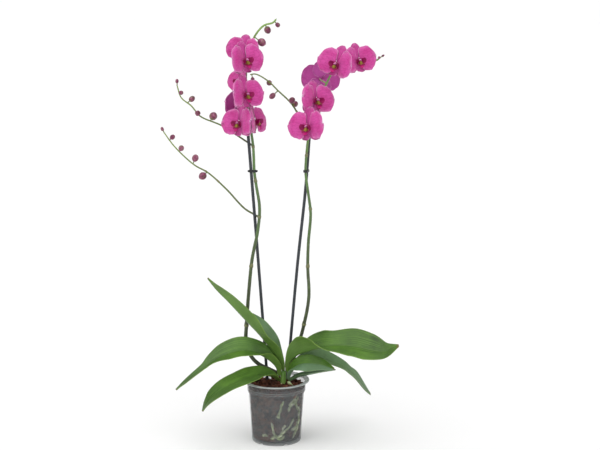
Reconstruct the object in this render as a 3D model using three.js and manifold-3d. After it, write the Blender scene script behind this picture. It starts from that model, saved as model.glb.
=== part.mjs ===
// Potted moth orchid: a clear pot of bark, seven leaves, two staked flower spikes and three side branches.
// Millimetres, +Z up. The origin is the centre of the pot's foot, on the surface that it stands on.
// The plant's front faces -Y.
import * as THREE from 'three';
import { mergeVertices } from 'three/addons/utils/BufferGeometryUtils.js';
import Module from 'manifold-3d';

const wasm = await Module();
wasm.setup();

// ---- Driving dimensions -------------------------------------------------------------------------
const GAP = 0.35;                 // clearance between neighbouring pieces
const STALK_GAP = 1.5;            // clearance between a stalk's end and the stem that bears it

const POT = {
  segments: 36,
  height: 113,
  rimRadius: 60,
  neckRadius: 53,                 // straight band under the rim
  bandHeight: 20,
  topRadius: 50.5,                // tapered wall, just under the band
  footRadius: 44.5,
  footHeight: 5,
  footWidth: 3.5,
  wall: 1.6,
};
const NOTCH = { count: 6, width: 7, height: 4, firstAngle: 23 };
const DRAIN = { count: 6, radius: 4, circle: 26 };

const BARK = { top: 103, lump: 2.2, rings: [40, 27, 14], shoulder: 3, segments: 20 };
const CROWN = { x: 13, y: 8, bottom: 82, top: 121, bottomRadius: 7, topRadius: 5 };
const STAKE_RADIUS = 2.75;
const CLIP = { wall: 1.4, height: 4.5, clearance: 0.5, level: 494, stemRadius: 2.6 };
const LEAF_THICKNESS = 2;
const ROOT_RADIUS = 2.3;
const TEPAL_THICKNESS = 1.2;
const PEDICEL_RADIUS = 1.5;
const BUD_STALK_RADIUS = 1.1;

// ---- Materials ----------------------------------------------------------------------------------
function finish(color, roughness, metalness = 0) {
  return new THREE.MeshStandardMaterial({ color, roughness, metalness });
}

function clearPlastic() {
  const plastic = finish(0xa9adb0, 0.35);
  plastic.transparent = true;
  plastic.opacity = 0.4;
  return plastic;
}

const COLORS = {
  bark: 0x4a2620,
  crown: 0x5f8f3f,
  leaf: 0x4f7f2f,
  spike: 0x5f7f45,
  branch: 0x748f4a,
  stake: 0x3c4048,
  clip: 0x17181a,
  petal: 0xc43f96,
  bud: 0x7b2f52,
  root: 0xa3ae8c,
};

// ---- Solids -------------------------------------------------------------------------------------
function toSolid(geometry) {
  const shape = geometry.clone();
  shape.deleteAttribute('normal');
  shape.deleteAttribute('uv');
  const merged = mergeVertices(shape, 1e-3);
  return new wasm.Manifold(new wasm.Mesh({
    numProp: 3,
    vertProperties: new Float32Array(merged.attributes.position.array),
    triVerts: new Uint32Array(merged.index.array),
  }));
}

function toGeometry(solid) {
  const mesh = solid.getMesh();
  const geometry = new THREE.BufferGeometry();
  geometry.setAttribute('position', new THREE.BufferAttribute(mesh.vertProperties, 3));
  geometry.setIndex(new THREE.BufferAttribute(mesh.triVerts, 1));
  geometry.computeVertexNormals();
  return geometry;
}

function joinAll(geometries) {
  const [first, ...others] = geometries.map(toSolid);
  return toGeometry(others.reduce((sum, solid) => sum.add(solid), first));
}

function cutAll(geometry, cutters) {
  return toGeometry(cutters.map(toSolid).reduce((rest, cutter) => rest.subtract(cutter), toSolid(geometry)));
}

function points(list) {
  return list.map(([x, y, z]) => new THREE.Vector3(x, y, z));
}

function smoothCurve(list) {
  return new THREE.CatmullRomCurve3(points(list), false, 'centripetal');
}

// A closed round tube whose radius goes from one value to another along a curve.
function taperedTube(curve, startRadius, endRadius, steps, sides) {
  const tube = new THREE.CylinderGeometry(1, 1, 1, sides, steps);
  const frames = curve.computeFrenetFrames(steps);
  const position = tube.attributes.position;
  const vertex = new THREE.Vector3();
  for (let i = 0; i < position.count; i += 1) {
    vertex.fromBufferAttribute(position, i);
    const step = Math.round((vertex.y + 0.5) * steps);
    const radius = THREE.MathUtils.lerp(startRadius, endRadius, step / steps);
    const { x, z } = vertex;
    vertex.copy(curve.getPointAt(step / steps));
    vertex.addScaledVector(frames.binormals[step], x * radius);
    vertex.addScaledVector(frames.normals[step], z * radius);
    position.setXYZ(i, vertex.x, vertex.y, vertex.z);
  }
  return tube;
}

// A closed sheet of even thickness: place(across, along) gives a point and the sheet's normal there.
// across runs from -1 to 1, along from 0 to 1.
function bentSheet(acrossSteps, alongSteps, thickness, place) {
  const sheet = new THREE.BoxGeometry(2, 1, 1, acrossSteps, alongSteps, 1);
  const position = sheet.attributes.position;
  for (let i = 0; i < position.count; i += 1) {
    const { point, normal } = place(position.getX(i), position.getY(i) + 0.5);
    point.addScaledVector(normal, position.getZ(i) * thickness);
    position.setXYZ(i, point.x, point.y, point.z);
  }
  return sheet;
}

const plant = new THREE.Group();

function addPart(name, geometry, material) {
  const mesh = new THREE.Mesh(geometry, material);
  mesh.name = name;
  plant.add(mesh);
  return mesh;
}

// ---- Pot ----------------------------------------------------------------------------------------
function wallRadius(z) {
  const bandBottom = POT.height - POT.bandHeight;
  if (z >= bandBottom) {
    return POT.neckRadius;
  }
  return THREE.MathUtils.mapLinear(z, 0, bandBottom, POT.footRadius, POT.topRadius);
}

function innerRadius(z) {
  return wallRadius(z) - POT.wall;
}

function potProfile() {
  const bandBottom = POT.height - POT.bandHeight;
  const floorTop = POT.footHeight + POT.wall;
  const flange = 3;
  return [
    [0, POT.footHeight],
    [POT.footRadius - POT.footWidth, POT.footHeight],
    [POT.footRadius - POT.footWidth, 0],
    [POT.footRadius, 0],
    [POT.topRadius, bandBottom - 2],
    [POT.neckRadius, bandBottom],
    [POT.neckRadius, POT.height - flange - 1],
    [POT.rimRadius - 1, POT.height - flange],
    [POT.rimRadius, POT.height - flange / 2],
    [POT.rimRadius - 1.5, POT.height],
    [POT.neckRadius - 0.5, POT.height - 1],
    [POT.neckRadius - POT.wall, POT.height - flange],
    [POT.neckRadius - POT.wall, bandBottom],
    [innerRadius(bandBottom - 2), bandBottom - 2],
    [innerRadius(floorTop), floorTop],
    [0, floorTop],
  ].map(([radius, z]) => new THREE.Vector2(radius, z));
}

function footNotches() {
  const notches = [];
  for (let i = 0; i < NOTCH.count; i += 1) {
    const notch = new THREE.BoxGeometry(NOTCH.width, 3 * POT.footWidth, 2 * NOTCH.height);
    notch.translate(0, -POT.footRadius, 0);
    notch.rotateZ(THREE.MathUtils.degToRad(NOTCH.firstAngle + (360 / NOTCH.count) * i));
    notches.push(notch);
  }
  return notches;
}

function drainHoles() {
  const holes = [];
  for (let i = 0; i < DRAIN.count; i += 1) {
    const hole = new THREE.CylinderGeometry(DRAIN.radius, DRAIN.radius, 4 * POT.footHeight, 10);
    hole.rotateX(Math.PI / 2);
    hole.translate(DRAIN.circle, 0, 0);
    hole.rotateZ((2 * Math.PI / DRAIN.count) * i);
    holes.push(hole);
  }
  return holes;
}

function addPot() {
  const pot = new THREE.LatheGeometry(potProfile(), POT.segments);
  pot.rotateX(Math.PI / 2);
  addPart('pot', cutAll(pot, [...footNotches(), ...drainHoles()]), clearPlastic());
}

// ---- Stakes and clips ---------------------------------------------------------------------------
const stakeLines = {
  left: smoothCurve([[-12, 27, 30], [-30, 10, 298], [-49, -6, 566]]),
  right: smoothCurve([[13, 30, 30], [38, 18, 317], [53, 9, 462], [60, 6, 560]]),
};

function stakeTube(line, radius) {
  return taperedTube(line, radius, radius, 8, 8);
}

// The band that holds a spike against its stake, seen from above: an oval ring round both.
function addClip(name, stake, stem, stemRadius, z) {
  const middle = stake.clone().add(stem).multiplyScalar(0.5);
  const reach = stake.distanceTo(stem) / 2;
  const inner = Math.max(STAKE_RADIUS, stemRadius) + CLIP.clearance;
  const ring = ovalOutline(new THREE.Shape(), reach, inner + CLIP.wall);
  ring.holes.push(ovalOutline(new THREE.Path(), reach, inner));
  const band = new THREE.ExtrudeGeometry(ring, { depth: CLIP.height, bevelEnabled: false, curveSegments: 4 });
  band.translate(0, 0, -CLIP.height / 2);
  const clip = addPart(name, band, finish(COLORS.clip, 0.4));
  clip.position.set(middle.x, middle.y, z);
  clip.rotation.z = Math.atan2(stem.y - stake.y, stem.x - stake.x);
}

function ovalOutline(path, reach, radius) {
  path.moveTo(-reach, -radius);
  path.lineTo(reach, -radius);
  path.absarc(reach, 0, radius, -Math.PI / 2, Math.PI / 2, false);
  path.lineTo(-reach, radius);
  path.absarc(-reach, 0, radius, Math.PI / 2, 1.5 * Math.PI, false);
  return path;
}

function atHeight(curve, z) {
  const samples = curve.getSpacedPoints(400);
  return samples.reduce((best, point) => (Math.abs(point.z - z) < Math.abs(best.z - z) ? point : best))
    .clone().setZ(0);
}

// ---- Spikes and branches ------------------------------------------------------------------------
const stems = {
  spike_left: {
    curve: smoothCurve([
      [4, 13.5, 119], [-14, 13, 128], [-33, 12, 138], [-47, 8, 155], [-55, 8, 182], [-54, 10, 215],
      [-49, 8, 280],
      [-43, 3, 335], [-32, -7, 390], [-29, -7, 430], [-35, -3, 470], [-38, -2, 492], [-40, -4, 540],
      [-50, -3, 610], [-52, 4, 660], [-47, 9, 705], [-36, 8, 732], [-20, 6, 750], [-4, 6, 755], [2, 6, 762],
    ]),
    radii: [3.8, 1.6],
    steps: 50,
  },
  spike_right: {
    curve: smoothCurve([
      [21, 17, 122], [37, 27, 160], [50, 22, 208], [59, 14, 262], [57, 7, 320], [58, 2, 365], [62, -3, 418],
      [58, -1, 452], [53, -1, 492], [55, -1, 530], [61, 0, 576], [72, 3, 615], [88, 6, 645], [101, 10, 668],
      [124, 14, 682], [156, 15, 687], [178, 12, 689], [184, 11, 694],
    ]),
    radii: [3.5, 1.5],
    steps: 36,
  },
  branch_left_lower: {
    curve: smoothCurve([
      [-30, -3, 411], [-32, 6, 411], [-39, 13, 414], [-57, 20, 424], [-90, 34, 457], [-124, 50, 485],
      [-148, 60, 497], [-171, 70, 515], [-190, 77, 534], [-206, 84, 555],
    ]),
    radii: [1.8, 1.1],
    steps: 20,
  },
  branch_left_upper: {
    curve: smoothCurve([
      [-40, -1, 537], [-43, 6, 540], [-52, 14, 545], [-67, 22, 554], [-99, 32, 573], [-136, 42, 588],
      [-152, 46, 606], [-171, 52, 621], [-178, 54, 642],
    ]),
    radii: [1.7, 1.1],
    steps: 18,
  },
  branch_right: {
    curve: smoothCurve([
      [56, 4, 556], [46, 12, 582], [28, 18, 612], [4, 24, 635], [-14, 28, 652], [-36, 30, 664],
      [-46, 30, 663],
    ]),
    radii: [1.7, 1.1],
    steps: 16,
  },
};

function addStem(name, color) {
  const { curve, radii, steps } = stems[name];
  addPart(name, taperedTube(curve, radii[0], radii[1], steps, 6), finish(color, 0.55));
}

// The place on a stem nearest to a point, and the stem's radius there.
function nearestOnStem(name, target) {
  const { curve, radii } = stems[name];
  const steps = 1200;
  let best = { distance: Infinity };
  for (let i = 0; i <= steps; i += 1) {
    const point = curve.getPointAt(i / steps);
    const distance = point.distanceTo(target);
    if (distance < best.distance) {
      best = { distance, point, radius: THREE.MathUtils.lerp(radii[0], radii[1], i / steps) };
    }
  }
  return best;
}

// ---- Leaves -------------------------------------------------------------------------------------
// Each station holds the midrib's x, y, z, the half width, how far the near half is rolled up, and the fold
// of the V-shaped channel, in degrees. side is 1 for a leaf that grows to the left and -1 to the right.
const leaves = {
  leaf_1: {
    side: 1,
    stations: [
      [12, 6, 126, 4, 0, 60], [7, 1, 145, 9, -2, 58], [-10, -5, 172, 22, -6, 54],
      [-29, -12, 198, 27, -14, 44], [-54, -20, 228, 26, 14, 36], [-84, -30, 264, 20, 26, 30],
      [-106, -37, 289, 12, 30, 22], [-120, -42, 309, 2, 30, 8],
    ],
  },
  leaf_2: {
    side: 1,
    stations: [
      [4, 4, 118, 4, 0, 60], [0, -1, 136, 11, 0, 58], [-19, -10, 156, 20, -4, 54],
      [-40, -20, 168, 25, -26, 36], [-65, -30, 173, 26, -34, 28], [-91, -40, 168, 23, -34, 24],
      [-112, -51, 160, 15, -30, 24], [-127, -59, 150, 9.5, -24, 20], [-146, -67, 137, 8.5, -18, 16],
      [-164, -74, 124, 7, -14, 10], [-176, -78, 115, 2.5, -10, 6],
    ],
  },
  leaf_3: {
    side: 1,
    stations: [
      [5, 3, 109, 4, 0, 58], [-8, -8, 120, 11, -6, 46], [-26, -22, 127, 18, -16, 30],
      [-43, -36, 127, 22, -22, 20], [-64, -50, 123, 23, -24, 16], [-88, -64, 115, 22, -24, 14],
      [-110, -76, 102, 18, -22, 10], [-122, -82, 90, 11, -20, 7], [-129, -86, 78, 2.5, -20, 5],
    ],
  },
  leaf_4: {
    side: -1,
    stations: [
      [20, 7, 125, 4, 4, 60], [24, 2, 144, 9, 8, 58], [38, -6, 160, 24, 22, 52],
      [57, -16, 170, 35, 18, 50], [79, -26, 178, 35, 2, 44], [104, -38, 185, 29, -28, 26],
      [139, -50, 187, 33, -40, 22], [165, -62, 184, 30, -42, 18], [192, -72, 183, 19, -38, 14],
      [216, -82, 196, 3, -30, 5],
    ],
  },
  leaf_5: {
    side: -1,
    stations: [
      [22, 9, 117, 4, 0, 58], [42, 9, 140, 13, -8, 42], [70, 14, 150, 19, -20, 28],
      [98, 26, 140, 17, -26, 20], [122, 36, 127, 13, -26, 18], [134, 44, 116, 10, -26, 16],
      [146, 55, 103, 11, -24, 14], [163, 72, 77, 8, -22, 10], [176, 85, 59, 2.5, -20, 5],
    ],
  },
  leaf_6: {
    side: -1,
    stations: [
      [22, 1, 112, 4, 0, 56], [29, -6, 132, 11, -8, 40], [43, -16, 144, 16, -32, 18],
      [61, -28, 149, 17, -42, 8], [82, -42, 150, 12, -44, 5], [103, -55, 146, 3, -40, 3],
    ],
  },
  leaf_7: {
    side: -1,
    stations: [
      [22, 5, 107, 3.5, 0, 50], [40, 8, 115, 8, 0, 34], [62, 12, 119, 9, 0, 22], [85, 18, 122, 7, 0, 14],
      [108, 24, 124, 2, 0, 6],
    ],
  },
};

// The leaf's own frame at a point of its midrib: near points to the front, up out of the channel.
function leafFrame(tangent, side, roll) {
  const near = new THREE.Vector3(0, -1, 0);
  near.addScaledVector(tangent, -near.dot(tangent)).normalize();
  const up = new THREE.Vector3().crossVectors(tangent, near).multiplyScalar(side);
  const angle = THREE.MathUtils.degToRad(roll) * side;
  near.applyAxisAngle(tangent, angle);
  up.applyAxisAngle(tangent, angle);
  return { near, up };
}

function leafSheet({ side, stations }) {
  const midrib = smoothCurve(stations);
  const form = smoothCurve(stations.map((station) => station.slice(3)));
  return bentSheet(4, 2 * (stations.length - 1), LEAF_THICKNESS, (across, along) => {
    const point = midrib.getPoint(along);
    const { x: halfWidth, y: roll, z: fold } = form.getPoint(along);
    const { near, up } = leafFrame(midrib.getTangent(along), side, roll);
    const rise = THREE.MathUtils.degToRad(fold);
    const lean = Math.sign(across) * Math.sin(rise);
    point.addScaledVector(near, across * halfWidth * Math.cos(rise));
    point.addScaledVector(up, Math.abs(across) * halfWidth * Math.sin(rise));
    const normal = up.clone().multiplyScalar(across === 0 ? 1 : Math.cos(rise)).addScaledVector(near, -lean);
    return { point, normal: normal.multiplyScalar(-side) };
  });
}

// ---- Flowers ------------------------------------------------------------------------------------
// In a flower's own frame X is across its face, Y is up and Z comes out of the face.
const TEPALS = {
  petal: {
    length: 33, halfWidth: 22.5, base: 0.16, tip: 0.5, cup: 5.5, lift: 0.9, lean: 13, tilt: 0.22,
    acrossSteps: 4,
  },
  dorsal: {
    length: 29, halfWidth: 12.5, base: 0.25, tip: 0.3, cup: 3, lift: -1.7, lean: 1, tilt: 0.22,
    acrossSteps: 2,
  },
  lateral: {
    length: 25, halfWidth: 12, base: 0.25, tip: 0.3, cup: 3, lift: -1.7, lean: 0, tilt: 0, acrossSteps: 2,
  },
  lip: {
    length: 15, halfWidth: 7, base: 0.5, tip: 0.3, cup: -5, lift: 4, lean: 0, tilt: 0, acrossSteps: 2,
  },
};
const SIDE_CUP = 0.6;
const PETAL_TURN = 82;
const LATERAL_TURN = 142;
const LIP_DROP = 38;
const HUB = { radius: 5, depth: 7.5, start: 3, forward: 2 };
const STALK = { drop: 0.05, back: 0.8, bend: 0.6 };

// A rounded blade that grows along +Y from the flower's centre. It leans out of the face, its sides and tip
// curl back by cup, and turn is its direction round the face. tilt sets its upper side further back.
function tepal({ length, halfWidth, base, tip, cup, lift, lean, tilt, acrossSteps }, turn) {
  const blade = bentSheet(acrossSteps, 3, TEPAL_THICKNESS, (across, along) => {
    const roundness = Math.sqrt(Math.max(1 - (2 * along - 1) ** 2, 0));
    const width = halfWidth * Math.max(roundness, along < 0.5 ? base : tip);
    const curl = cup * (across * across * roundness * SIDE_CUP + along ** 3);
    return {
      point: new THREE.Vector3(across * width, HUB.start + along * length, lift + lean * along - curl),
      normal: new THREE.Vector3(0, 0, 1),
    };
  });
  blade.rotateZ(THREE.MathUtils.degToRad(turn));
  return blade.applyMatrix4(new THREE.Matrix4().makeShear(0, 0, 0, -tilt, 0, 0));
}

function flowerBlades() {
  const column = new THREE.SphereGeometry(1, 6, 4);
  column.scale(HUB.radius, HUB.radius, HUB.depth);
  column.translate(0, 0, HUB.forward);
  const lip = tepal(TEPALS.lip, 180).rotateX(THREE.MathUtils.degToRad(-LIP_DROP));
  return [
    column,
    tepal(TEPALS.dorsal, 0),
    tepal(TEPALS.petal, PETAL_TURN),
    tepal(TEPALS.petal, -PETAL_TURN),
    tepal(TEPALS.lateral, LATERAL_TURN),
    tepal(TEPALS.lateral, -LATERAL_TURN),
    lip,
  ];
}

// centre, yaw (positive turns the face to +X), nod (positive looks down), roll, and size against the usual
const flowers = {
  flower_left_1: { stem: 'spike_left', centre: [-52, -39, 692], yaw: 43, nod: 2, roll: 4, size: 1 },
  flower_left_2: { stem: 'spike_left', centre: [-56, -2, 708], yaw: -15, nod: 0, roll: -6, size: 0.85 },
  flower_left_3: { stem: 'spike_left', centre: [-51, -51, 634], yaw: 44, nod: 2, roll: -3, size: 1 },
  flower_left_4: { stem: 'spike_left', centre: [-67, 20, 612], yaw: -120, nod: 2, roll: 5, size: 0.9 },
  flower_left_5: { stem: 'spike_left', centre: [-62, -36, 583], yaw: -42, nod: 2, roll: 5, size: 1 },
  flower_left_6: { stem: 'spike_left', centre: [-36, -20, 585], yaw: 70, nod: 2, roll: -4, size: 0.96 },
  flower_left_7: { stem: 'spike_left', centre: [-63, -3, 654], yaw: -52, nod: 2, roll: 8, size: 0.77 },
  flower_right_1: { stem: 'spike_right', centre: [57, -60, 579], yaw: -35, nod: 2, roll: 6, size: 1.04 },
  flower_right_2: { stem: 'spike_right', centre: [70, -20, 622], yaw: 40, nod: 2, roll: -6, size: 1.05 },
  flower_right_3: { stem: 'spike_right', centre: [79, 38, 655], yaw: 172, nod: 2, roll: 0, size: 1 },
  flower_right_4: { stem: 'spike_right', centre: [107, -32, 685], yaw: -36, nod: 2, roll: -12, size: 1 },
  flower_right_5: { stem: 'spike_right', centre: [145, -4, 690], yaw: 34, nod: 2, roll: 4, size: 0.94 },
};

function placeFlower(mesh, { centre, yaw, nod, roll, size }) {
  const turn = (degrees, x, y, z) => new THREE.Quaternion().setFromAxisAngle(
    new THREE.Vector3(x, y, z),
    THREE.MathUtils.degToRad(degrees),
  );
  mesh.position.set(...centre);
  mesh.quaternion.copy(turn(yaw, 0, 0, 1)).multiply(turn(90 + nod, 1, 0, 0)).multiply(turn(roll, 0, 0, 1));
  mesh.scale.setScalar(size);
  mesh.updateMatrixWorld();
}

// The flower's stalk leaves the back of the face and bends to its place on the stem.
function flowerStalk(mesh, stem) {
  const away = nearestOnStem(stem, mesh.position).distance;
  const behind = mesh.localToWorld(new THREE.Vector3(0, -STALK.drop * away, -STALK.back * away));
  const { point, radius } = nearestOnStem(stem, behind);
  const outward = behind.sub(point).normalize();
  const root = mesh.worldToLocal(point.clone().addScaledVector(outward, radius + STALK_GAP));
  const bend = new THREE.Vector3(0, 0, -STALK.bend * root.length());
  const curve = new THREE.QuadraticBezierCurve3(root, bend, new THREE.Vector3(0, 0, 0));
  return taperedTube(curve, PEDICEL_RADIUS, PEDICEL_RADIUS, 4, 4);
}

function addFlower(name, plan) {
  const mesh = addPart(name, new THREE.BufferGeometry(), finish(COLORS.petal, 0.5));
  placeFlower(mesh, plan);
  mesh.geometry = joinAll([...flowerBlades(), flowerStalk(mesh, plan.stem)]);
}

// ---- Buds ---------------------------------------------------------------------------------------
// centre, width and length of each bud
const buds = {
  branch_left_lower: {
    prefix: 'bud_lower',
    list: [[-133, 42, 480, 14, 15], [-147, 54, 511, 12, 15], [-173, 64, 528, 10, 13], [-190, 76, 547, 9, 11],
      [-209, 84, 561, 6, 8]],
  },
  branch_left_upper: {
    prefix: 'bud_upper',
    list: [[-113, 44, 588, 14, 15], [-140, 34, 594, 10, 13], [-152, 57, 618, 10, 13], [-170, 43, 630, 8, 11],
      [-178, 54, 650, 6, 8]],
  },
  branch_right: {
    prefix: 'bud_right',
    list: [[29, 8, 619, 11, 14], [34, 28, 611, 11, 14], [-6, 20, 626, 10, 13], [-12, 38, 648, 10, 12],
      [-41, 24, 655, 7, 9]],
  },
  spike_left: {
    prefix: 'bud_top',
    list: [[-24, -4, 721, 14, 16], [-14, 14, 742, 12, 14], [4, -2, 751, 8, 10]],
  },
  spike_right: {
    prefix: 'bud_end',
    list: [[182, 4, 694, 5, 7], [189, 12, 697, 4, 6]],
  },
};

function addBud(name, stem, [x, y, z, width, length]) {
  const centre = new THREE.Vector3(x, y, z);
  const { point, distance, radius } = nearestOnStem(stem, centre);
  const body = new THREE.SphereGeometry(1, 7, 5).scale(width / 2, length / 2, width / 2);
  const reach = distance - radius - STALK_GAP;
  const stalk = new THREE.CylinderGeometry(BUD_STALK_RADIUS, BUD_STALK_RADIUS, reach, 5);
  stalk.translate(0, -reach / 2, 0);
  const bud = addPart(name, joinAll([body, stalk]), finish(COLORS.bud, 0.45));
  bud.position.copy(centre);
  bud.quaternion.setFromUnitVectors(new THREE.Vector3(0, 1, 0), centre.clone().sub(point).normalize());
}

// ---- Crown, roots and bark ----------------------------------------------------------------------
function crownTube(extra) {
  const line = new THREE.LineCurve3(
    new THREE.Vector3(CROWN.x - 3, CROWN.y - 2, CROWN.bottom),
    new THREE.Vector3(CROWN.x, CROWN.y, CROWN.top),
  );
  return taperedTube(line, CROWN.bottomRadius + extra, CROWN.topRadius + extra, 4, 8);
}

// A root that runs behind the clear wall: each turn holds an angle from the front, in degrees, and a height.
function wallRoot(turns) {
  return smoothCurve(turns.map(([angle, z]) => {
    const reach = innerRadius(z) - ROOT_RADIUS - GAP;
    const turn = THREE.MathUtils.degToRad(angle);
    return [reach * Math.sin(turn), -reach * Math.cos(turn), z];
  }));
}

const roots = {
  root_1: smoothCurve([[9, -2, 103], [9, -8, 99], [8, -18, 90], [10, -30, 80]]),
  root_2: smoothCurve([[20, -1, 106], [27, -6, 103], [31, -13, 97], [31, -20, 88]]),
  root_3: wallRoot([[2, 52], [8, 64], [14, 76], [18, 84]]),
  root_4: wallRoot([[28, 62], [38, 72], [48, 80], [60, 86]]),
  root_5: wallRoot([[-12, 44], [-6, 30], [4, 17], [20, 26], [34, 36], [46, 48]]),
  root_6: wallRoot([[52, 18], [62, 32], [66, 50], [70, 66]]),
};

function rootTube(curve, extra) {
  return taperedTube(curve, ROOT_RADIUS + extra, ROOT_RADIUS - 0.4 + extra, 8, 6);
}

function barkProfile() {
  const bottom = POT.footHeight + POT.wall + GAP;
  const bandBottom = POT.height - POT.bandHeight;
  const clearance = GAP + 0.1;
  return [
    [0, bottom],
    [innerRadius(bottom) - clearance, bottom],
    [innerRadius(bandBottom - 2) - clearance, bandBottom - 2],
    [innerRadius(BARK.top) - clearance - GAP, BARK.top - BARK.shoulder],
    ...BARK.rings.map((radius) => [radius, BARK.top]),
    [0, BARK.top],
  ].map(([radius, z]) => new THREE.Vector2(radius, z));
}

function barkFill() {
  const bark = new THREE.LatheGeometry(barkProfile(), BARK.segments);
  bark.rotateX(Math.PI / 2);
  const position = bark.attributes.position;
  for (let i = 0; i < position.count; i += 1) {
    const x = position.getX(i);
    const y = position.getY(i);
    if (position.getZ(i) >= BARK.top) {
      const lump = Math.sin(0.21 * x + 1) * Math.cos(0.17 * y) + 0.5 * Math.sin(0.4 * y + 0.3 * x);
      position.setZ(i, BARK.top + BARK.lump * lump);
    }
  }
  return bark;
}

function addBark() {
  const cutters = [
    crownTube(GAP),
    ...Object.values(stakeLines).map((line) => stakeTube(line, STAKE_RADIUS + GAP)),
    ...Object.values(roots).map((curve) => rootTube(curve, GAP)),
  ];
  addPart('bark_mix', cutAll(barkFill(), cutters), finish(COLORS.bark, 0.9));
}

// ---- Assembly -----------------------------------------------------------------------------------
addPot();
addBark();
addPart('crown', crownTube(0), finish(COLORS.crown, 0.5));
for (const [name, curve] of Object.entries(roots)) {
  addPart(name, rootTube(curve, 0), finish(COLORS.root, 0.7));
}
for (const [name, plan] of Object.entries(leaves)) {
  addPart(name, leafSheet(plan), finish(COLORS.leaf, 0.45));
}
for (const name of Object.keys(stems)) {
  addStem(name, name.startsWith('spike') ? COLORS.spike : COLORS.branch);
}
for (const [side, line] of Object.entries(stakeLines)) {
  addPart(`stake_${side}`, stakeTube(line, STAKE_RADIUS), finish(COLORS.stake, 0.6));
  const stem = atHeight(stems[`spike_${side}`].curve, CLIP.level);
  addClip(`clip_${side}`, atHeight(line, CLIP.level), stem, CLIP.stemRadius, CLIP.level);
}
for (const [name, plan] of Object.entries(flowers)) {
  addFlower(name, plan);
}
for (const [stem, { prefix, list }] of Object.entries(buds)) {
  list.forEach((bud, i) => addBud(`${prefix}_${i + 1}`, stem, bud));
}

export default plant;
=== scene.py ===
"""A potted moth orchid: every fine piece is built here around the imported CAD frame, in metres."""
import itertools
import math
import random

import bmesh
import bpy
import numpy as np
from mathutils import Matrix, Vector, noise


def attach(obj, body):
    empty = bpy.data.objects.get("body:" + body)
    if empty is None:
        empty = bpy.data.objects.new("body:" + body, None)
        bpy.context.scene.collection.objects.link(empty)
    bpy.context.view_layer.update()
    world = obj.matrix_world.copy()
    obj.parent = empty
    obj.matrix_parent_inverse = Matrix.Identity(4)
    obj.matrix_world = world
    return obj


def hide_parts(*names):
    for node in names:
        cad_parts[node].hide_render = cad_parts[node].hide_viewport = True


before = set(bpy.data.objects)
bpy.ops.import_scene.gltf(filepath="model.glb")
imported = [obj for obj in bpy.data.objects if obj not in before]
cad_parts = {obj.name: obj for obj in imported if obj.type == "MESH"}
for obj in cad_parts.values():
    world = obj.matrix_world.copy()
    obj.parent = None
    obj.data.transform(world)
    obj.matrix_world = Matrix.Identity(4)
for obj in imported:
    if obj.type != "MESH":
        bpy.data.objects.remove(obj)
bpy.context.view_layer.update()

MM = 0.001
BODY = "root"
SEED = 20

# ---- Design points, in millimetres, as the CAD part has them ----

STEMS = {
    "spike_left": {
        "points": [
            (4, 13.5, 119), (-14, 13, 128), (-33, 12, 138), (-47, 8, 155), (-55, 8, 182), (-54, 10, 215),
            (-49, 8, 280), (-43, 3, 335), (-32, -7, 390), (-29, -7, 430), (-35, -3, 470), (-38, -2, 492),
            (-40, -4, 540), (-50, -3, 610), (-52, 4, 660), (-47, 9, 705), (-36, 8, 732), (-20, 6, 750),
            (-4, 6, 755), (2, 6, 762)],
        "radii": (3.8, 1.6), "nodes": (210, 322, 411, 475, 537), "woody": 0.34},
    "spike_right": {
        "points": [
            (21, 17, 122), (37, 27, 160), (50, 22, 208), (59, 14, 262), (57, 7, 320), (58, 2, 365),
            (62, -3, 418), (58, -1, 452), (53, -1, 492), (55, -1, 530), (61, 0, 576), (72, 3, 615),
            (88, 6, 645), (101, 10, 668), (124, 14, 682), (156, 15, 687), (178, 12, 689), (184, 11, 694)],
        "radii": (3.5, 1.5), "nodes": (209, 320, 427, 520), "woody": 0.3},
    "branch_left_lower": {
        "points": [
            (-30, -3, 411), (-32, 6, 411), (-39, 13, 414), (-57, 20, 424), (-90, 34, 457), (-124, 50, 485),
            (-148, 60, 497), (-171, 70, 515), (-190, 77, 534), (-206, 84, 555)],
        "radii": (1.8, 1.1), "nodes": (470, 487), "woody": 0.1},
    "branch_left_upper": {
        "points": [
            (-40, -1, 537), (-43, 6, 540), (-52, 14, 545), (-67, 22, 554), (-99, 32, 573), (-136, 42, 588),
            (-152, 46, 606), (-171, 52, 621), (-178, 54, 642)],
        "radii": (1.7, 1.1), "nodes": (570,), "woody": 0.1},
    "branch_right": {
        "points": [
            (56, 4, 556), (46, 12, 582), (28, 18, 612), (4, 24, 635), (-14, 28, 652), (-36, 30, 664),
            (-46, 30, 663)],
        "radii": (1.7, 1.1), "nodes": (598,), "woody": 0.25},
}

STAKES = {
    "stake_left": [(-12, 27, 30), (-30, 10, 298), (-49, -6, 566)],
    "stake_right": [(13, 30, 30), (38, 18, 317), (53, 9, 462), (60, 6, 560)],
}
STAKE_RADIUS = 2.75
CLIP_HEIGHT = 494

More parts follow.
